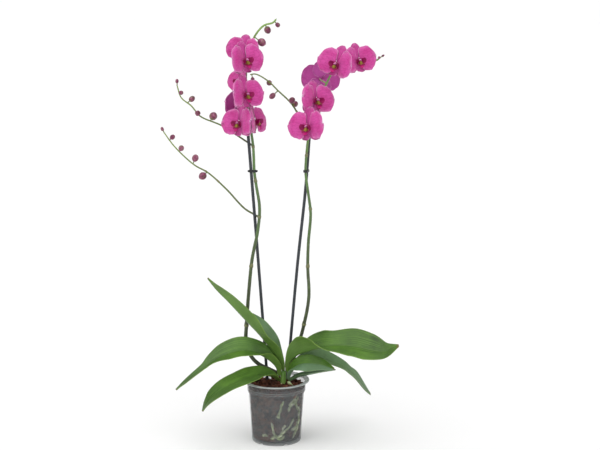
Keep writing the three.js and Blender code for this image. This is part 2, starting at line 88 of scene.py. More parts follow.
# Each station is the midrib's x, y, z, the half width, how far the near half is rolled up, and the fold of
# the V-shaped channel, in degrees. side is 1 for a leaf that grows to the left and -1 to the right. The last
# pair is painted sheen: how much grey-green, standing in for light reflected off the glossy blade, the far
# and the near half get.
LEAVES = {
    "leaf_1": {"side": 1, "painted_sheen": (0.0, 0.45), "stations": [
        (12, 6, 126, 4, 0, 60), (7, 1, 145, 9, -2, 58), (-10, -5, 172, 22, -6, 54),
        (-29, -12, 198, 27, -14, 44), (-54, -20, 228, 26, 14, 36), (-84, -30, 264, 20, 26, 30),
        (-106, -37, 289, 12, 30, 22), (-120, -42, 309, 2, 30, 8)]},
    "leaf_2": {"side": 1, "painted_sheen": (0.0, 0.05), "stations": [
        (4, 4, 118, 4, 0, 60), (0, -1, 136, 11, 0, 58), (-19, -10, 156, 20, -4, 54),
        (-40, -20, 168, 25, -26, 36), (-65, -30, 173, 26, -34, 28), (-91, -40, 168, 23, -34, 24),
        (-112, -51, 160, 15, -30, 24), (-127, -59, 150, 9.5, -24, 20), (-146, -67, 137, 8.5, -18, 16),
        (-164, -74, 124, 7, -14, 10), (-176, -78, 115, 2.5, -10, 6)]},
    "leaf_3": {"side": 1, "painted_sheen": (0.0, 0.0), "stations": [
        (5, 3, 109, 4, 0, 58), (-8, -8, 120, 11, -6, 46), (-26, -22, 127, 18, -16, 30),
        (-43, -36, 127, 22, -22, 20), (-64, -50, 123, 23, -24, 16), (-88, -64, 115, 22, -24, 14),
        (-110, -76, 102, 18, -22, 10), (-122, -82, 90, 11, -20, 7), (-129, -86, 78, 2.5, -20, 5)]},
    "leaf_4": {"side": -1, "painted_sheen": (0.0, 0.0), "stations": [
        (20, 7, 125, 4, 4, 60), (24, 2, 144, 9, 8, 58), (38, -6, 160, 24, 22, 52), (57, -16, 170, 35, 18, 50),
        (79, -26, 178, 35, 2, 44), (104, -38, 185, 29, -28, 26), (139, -50, 187, 33, -40, 22),
        (165, -62, 184, 30, -42, 18), (192, -72, 183, 19, -38, 14), (216, -82, 196, 3, -30, 5)]},
    "leaf_5": {"side": -1, "painted_sheen": (0.4, 0.3), "stations": [
        (22, 9, 117, 4, 0, 58), (42, 9, 140, 13, -8, 42), (70, 14, 150, 19, -20, 28),
        (98, 26, 140, 17, -26, 20), (122, 36, 127, 13, -26, 18), (134, 44, 116, 10, -26, 16),
        (146, 55, 103, 11, -24, 14), (163, 72, 77, 8, -22, 10), (176, 85, 59, 2.5, -20, 5)]},
    "leaf_6": {"side": -1, "painted_sheen": (0.0, 0.65), "stations": [
        (22, 1, 112, 4, 0, 56), (29, -6, 132, 11, -8, 40), (43, -16, 144, 16, -32, 18),
        (61, -28, 149, 17, -42, 8), (82, -42, 150, 12, -44, 5), (103, -55, 146, 3, -40, 3)]},
    "leaf_7": {"side": -1, "painted_sheen": (0.5, 0.5), "stations": [
        (22, 5, 107, 3.5, 0, 50), (40, 8, 115, 8, 0, 34), (62, 12, 119, 9, 0, 22), (85, 18, 122, 7, 0, 14),
        (108, 24, 124, 2, 0, 6)]},
}

# Stem, centre, yaw (positive turns the face to +X), nod (positive looks down), roll and size of each flower.
FLOWERS = {
    "left_1": ("spike_left", (-52, -39, 692), 43, 2, 4, 1),
    "left_2": ("spike_left", (-56, -2, 708), -15, 0, -6, 0.85),
    "left_3": ("spike_left", (-51, -51, 634), 44, 2, -3, 1),
    "left_4": ("spike_left", (-67, 20, 612), -120, 2, 5, 0.9),
    "left_5": ("spike_left", (-62, -36, 583), -42, 2, 5, 1),
    "left_6": ("spike_left", (-36, -20, 585), 70, 2, -4, 0.96),
    "left_7": ("spike_left", (-63, -3, 654), -52, 2, 8, 0.77),
    "right_1": ("spike_right", (57, -60, 579), -35, 2, 6, 1.04),
    "right_2": ("spike_right", (70, -20, 622), 40, 2, -6, 1.05),
    "right_3": ("spike_right", (79, 38, 655), 172, 2, 0, 1),
    "right_4": ("spike_right", (107, -32, 685), -36, 2, -12, 1),
    "right_5": ("spike_right", (145, -4, 690), 34, 2, 4, 0.94),
}

# Centre, width and length of each bud.
BUDS = {
    "bud_lower": ("branch_left_lower", [
        (-133, 42, 480, 14, 15), (-147, 54, 511, 12, 15), (-173, 64, 528, 10, 13), (-190, 76, 547, 9, 11),
        (-209, 84, 561, 6, 8)]),
    "bud_upper": ("branch_left_upper", [
        (-113, 44, 588, 14, 15), (-140, 34, 594, 10, 13), (-152, 57, 618, 10, 13), (-170, 43, 630, 8, 11),
        (-178, 54, 650, 6, 8)]),
    "bud_right": ("branch_right", [
        (29, 8, 619, 11, 14), (34, 28, 611, 11, 14), (-6, 20, 626, 10, 13), (-12, 38, 648, 10, 12),
        (-41, 24, 655, 7, 9)]),
    "bud_top": ("spike_left", [(-24, -4, 721, 14, 16), (-14, 14, 742, 12, 14), (4, -2, 751, 8, 10)]),
    "bud_end": ("spike_right", [(182, 4, 694, 5, 7), (189, 12, 697, 4, 6)]),
}

POT = {"height": 113, "rim": 60, "neck": 53, "band": 20, "top": 50.5, "foot": 44.5, "floor": 5, "wall": 1.2}
POT_LINES = (98.5, 94.8, 3.5)
NOTCH = {"count": 6, "width": 7, "height": 4, "first": 23}
BARK_TOP = 103
ROOT_RADIUS = 2.3
CROWN = {"x": 13, "y": 8, "bottom": 84, "top": 127, "radius": 6}

# A full turn, small limits, the height of the pot's foot that its notches cut, and how lumpy tubes are.
TURN = 2 * math.pi
TINY = 1e-12
WELD = 1e-6
SKIRT = 3.0
LUMP_REACH = 0.004
LUMPS_PER_METRE = 260


# ---- Curves ----

class Curve:
    """A smooth curve through points: a centripetal Catmull-Rom spline."""

    def __init__(self, points):
        knots = [Vector(p[:3]) for p in points]
        self.knots = [2 * knots[0] - knots[1], *knots, 2 * knots[-1] - knots[-2]]

    def at(self, t):
        spans = len(self.knots) - 3
        place = min(max(t, 0.0), 1.0) * spans
        first = min(int(place), spans - 1)
        w = place - first
        a, b, c, d = self.knots[first:first + 4]
        gap_a, gap_b, gap_c = (max((q - p).length ** 0.5, 1e-4) for p, q in ((a, b), (b, c), (c, d)))
        leave = ((b - a) / gap_a - (c - a) / (gap_a + gap_b) + (c - b) / gap_b) * gap_b
        arrive = ((c - b) / gap_b - (d - b) / (gap_b + gap_c) + (d - c) / gap_c) * gap_b
        return (b + leave * w + (3 * (c - b) - 2 * leave - arrive) * w * w
                + (2 * (b - c) + leave + arrive) * w ** 3)

    def direction(self, t):
        step = 1e-3
        return (self.at(t + step) - self.at(t - step)).normalized()

    def spaced(self, count, samples=600):
        """Points at even distances along the curve."""
        fine = [self.at(i / samples) for i in range(samples + 1)]
        reach = [0.0]
        for a, b in zip(fine, fine[1:]):
            reach.append(reach[-1] + (b - a).length)
        places = np.linspace(0, reach[-1], count)
        columns = [np.interp(places, reach, [p[k] for p in fine]) for k in range(3)]
        return [Vector(p) for p in zip(*columns)]


def path_through(points, count):
    """A smooth path through points in millimetres, as points in metres."""
    return [p * MM for p in Curve(points).spaced(count)]


def nearest(path, target):
    """The place on a list of points nearest to a target, and its share of the way along."""
    index = min(range(len(path)), key=lambda i: (path[i] - target).length_squared)
    return path[index], index / (len(path) - 1)


def lerp(a, b, t):
    return a + (b - a) * t


def smooth(low, high, value):
    t = min(max((value - low) / (high - low), 0.0), 1.0)
    return t * t * (3 - 2 * t)


# ---- Meshes ----

class Shape:
    """Vertices, faces and one mark (three numbers that the materials read) for each vertex."""

    def __init__(self):
        self.verts, self.faces, self.marks = [], [], []

    def add(self, verts, faces, marks):
        first = len(self.verts)
        self.verts.extend(Vector(v) for v in verts)
        self.faces.extend(tuple(first + i for i in face) for face in faces)
        self.marks.extend(tuple(m) for m in marks)

    def move(self, matrix):
        self.verts = [matrix @ v for v in self.verts]


def grid_faces(rows, cols, first=0, flip=False):
    faces = []
    for j in range(rows):
        for i in range(cols):
            a = first + j * (cols + 1) + i
            quad = (a, a + 1, a + cols + 2, a + cols + 1)
            faces.append(quad[::-1] if flip else quad)
    return faces


def ring_faces(rings, sides, closed=False, flip=False):
    """The faces between rings of vertices. closed also joins the last ring to the first."""
    faces = []
    for j in range(rings if closed else rings - 1):
        start, after = j * sides, (j + 1) % rings * sides
        for i in range(sides):
            k = (i + 1) % sides
            a, b, c, d = start + i, start + k, after + k, after + i
            faces.append((a, d, c, b) if flip else (a, b, c, d))
    return faces


def add_sheet(shape, points, thickness, kind=0.0, front=0.0, back=0.0):
    """Thickens a grid of points, an array of rows, columns and 3, into a closed sheet. front and back push
    each side out by more, as arrays or numbers. Marks are across, along, and kind plus 1 on the back."""
    rows, cols = points.shape[0] - 1, points.shape[1] - 1
    normals = np.cross(np.gradient(points, axis=1), np.gradient(points, axis=0))
    lengths = np.linalg.norm(normals, axis=2, keepdims=True)
    normals = normals / np.maximum(lengths, TINY)
    half = (np.zeros(points.shape[:2]) + thickness / 2)[..., None]
    top = points + normals * (half + (np.zeros(points.shape[:2]) + front)[..., None])
    bottom = points - normals * (half + (np.zeros(points.shape[:2]) + back)[..., None])
    across, along = np.meshgrid(np.linspace(-1, 1, cols + 1), np.linspace(0, 1, rows + 1))
    count = (rows + 1) * (cols + 1)
    faces = grid_faces(rows, cols) + grid_faces(rows, cols, count, flip=True)
    edge = list(range(cols))
    edge += [j * (cols + 1) + cols for j in range(rows)]
    edge += [rows * (cols + 1) + i for i in range(cols, 0, -1)]
    edge += [j * (cols + 1) for j in range(rows, 0, -1)]
    for a, b in zip(edge, edge[1:] + edge[:1]):
        faces.append((a, count + a, count + b, b))
    verts = np.concatenate([top.reshape(-1, 3), bottom.reshape(-1, 3)])
    marks = [(u, v, side + kind) for side in (0, 1) for u, v in zip(across.ravel(), along.ravel())]
    shape.add(verts, faces, marks)


def frames_along(path):
    """A steady pair of side directions at each point of a path."""
    ways = [(path[min(i + 1, len(path) - 1)] - path[max(i - 1, 0)]).normalized() for i in range(len(path))]
    side = ways[0].orthogonal().normalized()
    pairs = []
    for way in ways:
        side = (side - way * side.dot(way)).normalized()
        pairs.append((side, way.cross(side)))
    return pairs


def add_tube(shape, path, girth, sides=14, kind=0.0, lumps=0.0):
    """A closed round tube. girth gives its radius from the share of the way and the angle."""
    count = len(path)
    verts, marks = [], []
    for i, (point, (side, other)) in enumerate(zip(path, frames_along(path))):
        t = i / (count - 1)
        for k in range(sides):
            angle = TURN * k / sides
            size = girth(t, angle)
            out = side * math.cos(angle) + other * math.sin(angle)
            if lumps:
                size *= 1 + lumps * noise.noise((point + out * LUMP_REACH) * LUMPS_PER_METRE)
            verts.append(point + out * size)
            marks.append((k / sides, t, kind))
    faces = ring_faces(count, sides)
    faces.append(tuple(range(sides))[::-1])
    faces.append(tuple(range((count - 1) * sides, count * sides)))
    shape.add(verts, faces, marks)


def taper(t, ends=0.03):
    """Rounds a tube's two ends."""
    near = min(t, 1 - t)
    return math.sqrt(max(1 - (1 - min(near / ends, 1)) ** 2, 0.02))


def add_blob(shape, centre, radii, kind=0.0, rows=10, cols=14, warp=None):
    """A closed rounded body. warp(direction) scales it by direction."""
    ways, marks = [], []
    for j in range(1, rows):
        lift = math.pi * j / rows
        for i in range(cols):
            turn = TURN * i / cols
            reach = math.sin(lift)
            ways.append(Vector((reach * math.cos(turn), -math.cos(lift), reach * math.sin(turn))))
            marks.append((i / cols, j / rows, kind))
    ways += [Vector((0, -1, 0)), Vector((0, 1, 0))]
    marks += [(0.5, 0.0, kind), (0.5, 1.0, kind)]
    verts = []
    for way in ways:
        size = warp(way) if warp else 1.0
        verts.append(Vector(centre) + Vector(a * b for a, b in zip(way, radii)) * size)
    faces = ring_faces(rows - 1, cols)
    low_pole, high_pole = len(ways) - 2, len(ways) - 1
    last = (rows - 2) * cols
    for i in range(cols):
        after = (i + 1) % cols
        faces.append((after, i, low_pole))
        faces.append((last + i, last + after, high_pole))
    shape.add(verts, faces, marks)


def placed(name, data):
    """Puts a new object with this data into the scene."""
    thing = bpy.data.objects.new(name, data)
    bpy.context.scene.collection.objects.link(thing)
    return thing


def mesh_object(name, shape, material, flat=False):
    mesh = bpy.data.meshes.new(name)
    mesh.from_pydata([tuple(v) for v in shape.verts], [], shape.faces)
    marks = mesh.attributes.new("mark", "FLOAT_VECTOR", "POINT")
    marks.data.foreach_set("vector", np.array(shape.marks, dtype=float).ravel())
    mesh.polygons.foreach_set("use_smooth", [not flat] * len(mesh.polygons))
    mesh.materials.append(material)
    mesh.update()
    return placed(name, mesh)


def add_piece(name, shape, material, slot, *nodes, flat=False):
    """Makes the object of a shape, attaches it to the body and hides the CAD nodes that it stands in for.
    slot is not used.
    """
    if name in nodes:
        name = f"{name}_skin"
    piece = mesh_object(name, shape, material, flat)
    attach(piece, BODY)
    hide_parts(*nodes)
    return piece


def weld(piece):
    """Joins the vertices that meet, such as a lathe's on its axis."""
    form = bmesh.new()
    form.from_mesh(piece.data)
    bmesh.ops.remove_doubles(form, verts=form.verts, dist=WELD)
    bmesh.ops.dissolve_degenerate(form, dist=WELD / 10, edges=form.edges)
    form.to_mesh(piece.data)
    form.free()


# ---- Materials ----

# A noise stays mostly between these two values.
LOW, HIGH = 0.3, 0.7


class Paint:
    """A procedural material: a Principled shader and short ways to make the nodes that feed it. mark holds
    the three marks of a shape, place is the position in metres, and base is the colour so far."""

    def __init__(self, name, **constants):
        self.material = bpy.data.materials.new(name)
        self.material.use_nodes = True
        self.tree = self.material.node_tree
        self.shader = self.tree.nodes["Principled BSDF"]
        self.set(**constants)
        self.mark = self.split(self.made("ShaderNodeAttribute", attribute_name="mark").outputs["Vector"])
        self.place = self.made("ShaderNodeNewGeometry").outputs["Position"]

    def made(self, kind, inputs=None, **settings):
        node = self.tree.nodes.new(kind)
        for name, value in settings.items():
            setattr(node, name, value)
        for name, value in (inputs or {}).items():
            self.feed(node.inputs[name], value)
        return node

    def feed(self, socket, value):
        if isinstance(value, bpy.types.NodeSocket):
            self.tree.links.new(value, socket)
        else:
            socket.default_value = value

    def set(self, **inputs):
        for name, value in inputs.items():
            self.feed(self.shader.inputs[name.replace("_", " ")], value)

    def split(self, vector):
        return self.made("ShaderNodeSeparateXYZ", {0: vector}).outputs

    def join(self, x, y, z):
        return self.made("ShaderNodeCombineXYZ", {0: x, 1: y, 2: z}).outputs[0]

    def math(self, operation, a, b=0.0):
        return self.made("ShaderNodeMath", {0: a, 1: b}, operation=operation).outputs[0]

    def times(self, a, b):
        return self.math("MULTIPLY", a, b)

    def plus(self, a, b):
        return self.math("ADD", a, b)

    def size(self, a):
        return self.math("ABSOLUTE", a)

    def larger(self, a, b):
        return self.math("MAXIMUM", a, b)

    def noise(self, vector, scale, detail=3.0, roughness=0.55, distortion=0.0):
        inputs = {"Vector": vector, "Scale": scale, "Detail": detail, "Roughness": roughness,
                  "Distortion": distortion}
        return self.made("ShaderNodeTexNoise", inputs).outputs["Fac"]

    def grain(self, scale, *more):
        """A noise over the position, with this many grains to the metre."""
        return self.noise(self.place, scale, *more)

    def cells(self, vector, scale, feature="DISTANCE_TO_EDGE"):
        inputs = {"Vector": vector, "Scale": scale}
        return self.made("ShaderNodeTexVoronoi", inputs, feature=feature).outputs[0]

    def stretched(self, across, along):
        """The first two marks, stretched."""
        return self.join(self.times(self.mark[0], across), self.times(self.mark[1], along), 0)

    def remap(self, value, low, high, to_low=0.0, to_high=1.0):
        inputs = {"Value": value, "From Min": low, "From Max": high, "To Min": to_low, "To Max": to_high}
        return self.made("ShaderNodeMapRange", inputs, interpolation_type="SMOOTHSTEP").outputs[0]

    def kind_is(self, kind):
        """1 on the parts whose third mark is kind, or 1 more on their back, and 0 elsewhere."""
        least = self.remap(self.mark[2], kind - 0.5, kind - 0.1)
        return self.times(least, self.remap(self.mark[2], kind + 1.9, kind + 1.5))

    def ramp(self, value, *stops):
        node = self.made("ShaderNodeValToRGB", {0: value})
        colours = node.color_ramp.elements
        while len(colours) < len(stops):
            colours.new(0.5)
        for element, (place, colour) in zip(colours, stops):
            element.position = place
            element.color = rgba(colour)
        return node.outputs[0]

    def mix(self, share, a, b):
        node = self.made("ShaderNodeMix", data_type="RGBA")
        for socket, value in ((0, share), (6, a), (7, b)):
            self.feed(node.inputs[socket], rgba(value) if isinstance(value, str) else value)
        return node.outputs[2]

    def start(self, value, *stops):
        """The base colour: a ramp over a value."""
        self.base = self.ramp(value, *stops)

    def lay(self, colour, share):
        """Lays a colour over the base colour."""
        self.base = self.mix(share, self.base, colour)

    def shade(self, colour, value, low, high, first=0.0, last=1.0):
        """Lays a colour, with a share that goes from first to last as the value goes from low to high."""
        self.lay(colour, self.remap(value, low, high, first, last))

    def roughen(self, value, first, last):
        """Lets the roughness follow a noise, from first where the noise is low to last where it is high."""
        self.set(Roughness=self.remap(value, LOW, HIGH, first, last))

    def finish(self, height=0.0, strength=0.0, depth=0.0):
        """Connects the base colour and a bump of a height, and gives the material."""
        self.set(Base_Color=self.base)
        if strength:
            bump = self.made("ShaderNodeBump", {"Height": height, "Strength": strength, "Distance": depth})
            self.set(Normal=bump.outputs[0])
        return self.material


def rgba(code):
    """A colour written as six hexadecimal digits, in linear light."""
    parts = [int(code[i:i + 2], 16) / 255 for i in (0, 2, 4)]
    return (*(p / 12.92 if p <= 0.04045 else ((p + 0.055) / 1.055) ** 2.4 for p in parts), 1.0)


def leaf_paint(name, far, near):
    """far and near say how much painted sheen each half of the leaf gets: a grey-green that stands in for
    light reflected off the glossy blade.
    """
    paint = Paint(f"{name}_green", Coat_Weight=0.05, Coat_Roughness=0.3, Specular_IOR_Level=0.36)
    across, along, back = paint.mark
    middle = paint.size(across)
    blotch = paint.grain(22, 4)
    paint.start(blotch, (LOW, "28470f"), (0.5, "3e631b"), (0.72, "588029"))
    streaks = paint.noise(paint.stretched(26, 2), 1.6)
    paint.shade("6c963a", streaks, 0.42, 0.62, 0, 0.4)
    paint.shade("24400e", streaks, 0.46, 0.34, 0, 0.45)
    # Painted shade: darker along the midrib, in the crease of the V-fold. The thin pale line laid after it is
    # the midrib's own colour.
    paint.shade("2f5214", middle, 0.02, 0.1, 0.5, 0)
    paint.shade("7a9c4a", middle, 0.0, 0.03, 0.4, 0)
    paint.shade("8ea842", middle, 0.95, 1.0, 0, 0.45)
    paint.shade("7f9a44", along, 0.0, 0.16, 0.5, 0)
    paint.lay("6f8f4a", paint.times(back, 0.42))
    paint.shade("6d5a2c", along, 0.975, 1.0, 0, 0.8)
    # Painted sheen: a grey-green laid over each half as far and near ask, standing in for light reflected off
    # the glossy blade.
    painted_sheen = paint.remap(across, -0.1, 0.1, far, near)
    paint.lay("6d8872", paint.times(painted_sheen, paint.remap(blotch, LOW, HIGH, 0.6, 1.2)))
    paint.roughen(blotch, 0.34, 0.46)
    pores = paint.grain(900, 2)
    return paint.finish(paint.plus(paint.times(streaks, 0.8), paint.times(pores, 0.25)), 0.5, 0.0007)


def petal_paint(name, light, middle, deep, rim, reverse):
    paint = Paint(name, Sheen_Weight=0.25, Sheen_Roughness=0.4, Specular_IOR_Level=0.3)
    across, along, back = paint.mark
    wide = paint.size(across)
    paint.start(paint.grain(60), (LOW, middle), (HIGH, light))
    veins = paint.remap(paint.cells(paint.stretched(5.5, 3.2), 1.6), 0.0, 0.075, 1, 0)
    rays = paint.remap(paint.size(paint.math("SINE", paint.times(across, 22))), 0.0, 0.25, 1, 0)
    lines = paint.larger(veins, paint.times(rays, paint.remap(along, 0.85, 0.4)))
    paint.lay(deep, paint.times(lines, 0.5))
    edge = paint.larger(paint.remap(wide, 0.45, 1.0), paint.remap(along, 0.65, 1.0))
    paint.lay(rim, paint.times(edge, paint.remap(paint.grain(130), LOW, HIGH, 0.25, 0.75)))
    hem = paint.larger(paint.remap(wide, 0.86, 0.95), paint.remap(along, 0.93, 0.985))
    paint.lay("efc6e2", paint.times(hem, 0.8))
    paint.shade(deep, along, 0.0, 0.22, 0.6, 0)
    paint.lay(reverse, paint.times(back, 0.75))
    pores = paint.grain(1500, 2)
    paint.roughen(pores, 0.42, 0.58)
    height = paint.math("SUBTRACT", paint.times(pores, 0.25), paint.times(lines, 0.7))
    return paint.finish(height, 0.45, 0.0005)


def lip_paint():
    """Kinds: 0 middle lobe, 2 side lobes, 4 callus, 6 throat and tendrils."""
    paint = Paint("lip_skin", Roughness=0.45, Specular_IOR_Level=0.25)
    along = paint.mark[1]
    middle_part, side_part, callus_part = paint.kind_is(0), paint.kind_is(2), paint.kind_is(4)
    paint.start(paint.grain(160), (LOW, "740040"), (0.6, "900050"), (0.8, "b50a6c"))
    paint.lay("c70a78", paint.times(paint.remap(along, 0.45, 0.85, 0, 0.8), middle_part))
    paint.lay("8a7434", paint.times(paint.remap(along, 0.4, 0.1, 0, 0.7), middle_part))
    freckles = paint.remap(paint.cells(paint.place, 900, "F1"), 0.15, 0.35, 1, 0)
    pale = paint.mix(freckles, "a86a4a", "8a0a40")
    paint.lay(pale, paint.times(side_part, paint.remap(along, 0.2, 0.05, 0, 0.4)))
    paint.lay(paint.mix(paint.times(freckles, 0.8), "8f7730", "6f1f30"), callus_part)
    return paint.finish(paint.grain(1100), 0.4, 0.0003)


def column_paint():
    paint = Paint("column_skin", Roughness=0.4)
    tone = paint.grain(300)
    paint.start(paint.mark[1], (0.0, "a82b78"), (0.55, "c05a9c"), (0.85, "d58fbd"), (1.0, "e0abcb"))
    paint.shade("b95590", tone, 0.4, HIGH, 0, 0.35)
    return paint.finish(tone, 0.3, 0.0003)


def stalk_paint(name, low, middle, high):
    paint = Paint(name, Roughness=0.45, Coat_Weight=0.08, Coat_Roughness=0.35)
    place = paint.plus(paint.mark[1], paint.remap(paint.grain(45), LOW, HIGH, -0.08, 0.08))
    paint.start(place, (0.0, low), (0.5, middle), (1.0, high))
    fibre = paint.noise(paint.stretched(30, 12), 1.0)
    paint.shade(middle, fibre, 0.45, HIGH, 0, 0.3)
    return paint.finish(paint.plus(fibre, paint.grain(700, 2)), 0.35, 0.0004)


def stem_paint(name, woody, base_green, mid_green, tip_green):
    """woody is where the brown foot ends. Kinds: 0 the stem, 2 the sheaths at its nodes."""
    paint = Paint(name, Coat_Weight=0.1, Coat_Roughness=0.35)
    drift = paint.grain(30, 4)
    place = paint.plus(paint.mark[1], paint.remap(drift, LOW, HIGH, -0.1, 0.1))
    paint.start(place, (0.0, "37352a"), (woody, base_green), (0.62, mid_green), (1.0, tip_green))
    flecks = paint.remap(paint.grain(420, 3, 0.7), 0.58, 0.72)
    paint.lay("4a3f2b", paint.times(flecks, 0.45))
    paint.lay("7d7350", paint.times(paint.kind_is(2), 0.6))
    fibre = paint.noise(paint.stretched(24, 60), 1.0)
    paint.shade("8a9f66", fibre, 0.5, HIGH, 0, 0.4)
    paint.roughen(drift, 0.36, 0.52)
    return paint.finish(paint.plus(fibre, flecks), 0.3, 0.0004)


def bud_paint():
    """Kinds: 0 the bud, 2 its stalk."""
    paint = Paint("bud_skin", Roughness=0.42, Specular_IOR_Level=0.4)
    around, along = paint.mark[:2]
    paint.start(paint.grain(130), (LOW, "56203a"), (0.52, "813a5a"), (0.76, "b07d90"))
    seam = paint.size(paint.math("SINE", paint.times(around, 3 * math.pi)))
    paint.shade("77784a", seam, 0.0, 0.22, 0.7, 0)
    paint.shade("6d7045", paint.grain(210, 2), 0.55, HIGH, 0, 0.6)
    paint.shade("7f8550", along, 0.0, 0.3, 0.75, 0)
    paint.shade("8f7f66", along, 0.9, 1.0, 0, 0.5)
    paint.lay(paint.ramp(along, (0.0, "6f8748"), (1.0, "7b5a52")), paint.kind_is(2))
    return paint.finish(paint.grain(800), 0.35, 0.0004)


def root_paint():
    paint = Paint("root_skin", Roughness=0.62)
    paint.start(paint.grain(150, 4), (LOW, "7a8c46"), (0.5, "b3c08c"), (HIGH, "dde0c8"))
    paint.shade("8b7a55", paint.grain(240), 0.55, 0.75, 0, 0.5)
    return paint.finish(paint.grain(900, 4), 0.5, 0.0006)


def bark_paint():
    """The first mark is a random number for each chip."""
    paint = Paint("bark_chips", Specular_IOR_Level=0.25)
    coarse, fine = paint.grain(260, 5, 0.65, 1.0), paint.grain(1200, 3, 0.6)
    paint.start(paint.mark[0], (0.0, "2a1510"), (0.35, "4b251b"), (0.7, "6d3b2c"), (1.0, "8a5844"))
    paint.shade("1d0e0a", coarse, 0.35, 0.65, 0.65, 0)
    paint.shade("9a6a50", fine, 0.5, 0.75, 0, 0.45)
    paint.roughen(coarse, 0.95, 0.7)
    return paint.finish(paint.plus(coarse, paint.times(fine, 0.5)), 0.8, 0.0015)


def pot_paint():
    paint = Paint("pot_plastic")
    scuffs = paint.grain(55, 5, 0.6)
    paint.start(scuffs, (LOW, "5f6466"), (HIGH, "777c7d"))
    paint.shade("9fa2a6", paint.grain(380), 0.6, 0.72, 0, 0.5)
    height = paint.split(paint.place)[2]
    lines = 0.0
    for level in POT_LINES:
        away = paint.size(paint.math("SUBTRACT", height, level * MM))
        lines = paint.larger(lines, paint.remap(away, 0.25 * MM, 0.8 * MM, 1, 0))
    paint.lay("b4b9b8", paint.times(lines, 0.5))
    paint.set(Alpha=paint.remap(lines, 0, 1, 0.3, 0.48))
    paint.roughen(scuffs, 0.24, 0.42)
    return paint.finish(paint.grain(120, 2), 0.15, 0.0006)


def rim_paint():
    paint = Paint("pot_rim_plastic", Alpha=0.75)
    scuffs = paint.grain(90, 4)
    paint.start(scuffs, (LOW, "9aa09f"), (HIGH, "b9bfbd"))
    paint.roughen(scuffs, 0.22, 0.4)
    return paint.finish()


def stake_paint():
    paint = Paint("stake_coat")
    mottle = paint.grain(180, 4)
    paint.start(mottle, (LOW, "1e2227"), (HIGH, "363b42"))
    rings = paint.noise(paint.join(0.0, 0.0, paint.times(paint.split(paint.place)[2], 900)), 1.0, 1)
    paint.roughen(mottle, 0.42, 0.62)
    return paint.finish(paint.plus(rings, mottle), 0.25, 0.0003)


def clip_paint():
    paint = Paint("clip_plastic", Roughness=0.35)
    mottle = paint.grain(500)
    paint.start(mottle, (LOW, "0d0e0f"), (HIGH, "1e2022"))
    return paint.finish(mottle, 0.2, 0.0002)


def floor_paint():
    paint = Paint("floor_paper", Roughness=0.7)
    paint.start(paint.grain(6, 2), (LOW, "fdfdfd"), (HIGH, "fefefe"))
    return paint.finish()


# ---- Pot, bark and roots ----

# Sizes of the bark chips in millimetres. wide is a share of a chip's length, and tilt is in radians. half
# and inset are shares of the depth of bark that a chip at the wall takes up.
TOP_CHIPS = {"tries": 430, "reach": 47.5, "crown_gap": 7, "long": (2.4, 6.2), "wide": (0.45, 0.85),
             "thick": (1.0, 2.4), "sunk": 2.2, "lift": (-1.6, 2.0), "tilt": 0.6}
WALL_CHIPS = {"tries": 900, "heights": (14, BARK_TOP - 2), "depth": (2.2, 4.5), "half": 0.55, "inset": 0.35,
              "gap": 0.6, "long": (2.6, 6.0), "wide": (0.4, 0.8), "tilt": 0.3, "root_gap": 5.0}
CHIP_CUTS = ((-1, -0.2, 1), (-1, 0.15, 1), (-1, 1))
CHIP_JITTER = (0.28, 0.28, 0.4)
CHIP_CORNER = 0.8
WALL_ROOT_GAP = 2.4


def wall_radius(z):
    band_bottom = POT["height"] - POT["band"]
    return POT["neck"] if z >= band_bottom else lerp(POT["foot"], POT["top"], z / band_bottom)


def arc(centre, radius, start, end, steps):
    """Points on an arc of a profile, by angle in degrees from the radius axis."""
    turns = [math.radians(lerp(start, end, i / steps)) for i in range(steps + 1)]
    return [(centre[0] + radius * math.cos(a), centre[1] + radius * math.sin(a)) for a in turns]


def wall_profile():
    """The thin wall as a closed outline of radius and height: up its outside, and down its inside."""
    wall, height = POT["wall"], POT["height"]
    low = height - POT["band"]
    neck, top = POT["neck"], POT["top"]
    outer = [(POT["foot"], 0.0), (wall_radius(3), 3), (wall_radius(6), 6), (wall_radius(40), 40)]
    outer += [(top - 0.1, low - 5), (top + 0.5, low - 3.6), (top + 0.2, low - 2.6)]
    outer += [(neck - 0.9, low - 1.4), (neck, low)]
    outer += [(neck, low + 8), (neck + 0.35, low + 8.8), (neck, low + 9.6), (neck, height - 4)]
    inner = [(neck - wall, height - 4), (neck - wall, low)]
    inner += [(top - wall, low - 2.6), (top - wall, low - 5), (wall_radius(40) - wall, 40)]
    inner += [(wall_radius(6) - wall, 6.2), (wall_radius(6) - wall - 1.5, POT["floor"] + wall)]
    inner += [(0.0, POT["floor"] + wall), (0.0, POT["floor"]), (POT["foot"] - 3.2, POT["floor"]),
              (POT["foot"] - 2.4, 4.0), (POT["foot"] - wall, 0.0)]
    return outer + inner


def rim_profile():
    height, neck, rim = POT["height"], POT["neck"], POT["rim"]
    outline = [(neck - POT["wall"], height - 4), (neck, height - 4), (neck + 0.8, height - 3.4)]
    outline += [(rim - 2.2, height - 3)] + arc((rim - 1.3, height - 1.5), 1.3, -80, 100, 8)
    outline += [(rim - 3.2, height - 0.7), (neck + 1.2, height - 1.1)]
    return outline + arc((neck + 0.2, height - 2.6), 1.4, 95, 175, 4)


def core_profile():
    """The dark middle of the bark, a little inside the chips."""
    return [(0.0, 6.6), (wall_radius(8) - 3.4, 6.8), (wall_radius(14) - 3.2, 14), (wall_radius(16) - 5, 16),
            (wall_radius(60) - 5, 60), (POT["neck"] - 5.5, BARK_TOP - 7), (38, BARK_TOP - 4),
            (20, BARK_TOP - 3.5), (0.0, BARK_TOP - 3.5)]


def notch_lift(angle):
    """How far the foot's lower edge is raised at an angle from the front, for its drainage notches."""
    pitch = TURN / NOTCH["count"]
    off = (angle - math.radians(NOTCH["first"]) + pitch / 2) % pitch - pitch / 2
    half = NOTCH["width"] / 2 / POT["foot"]
    return NOTCH["height"] * (1 - smooth(0.82 * half, half, abs(off)))


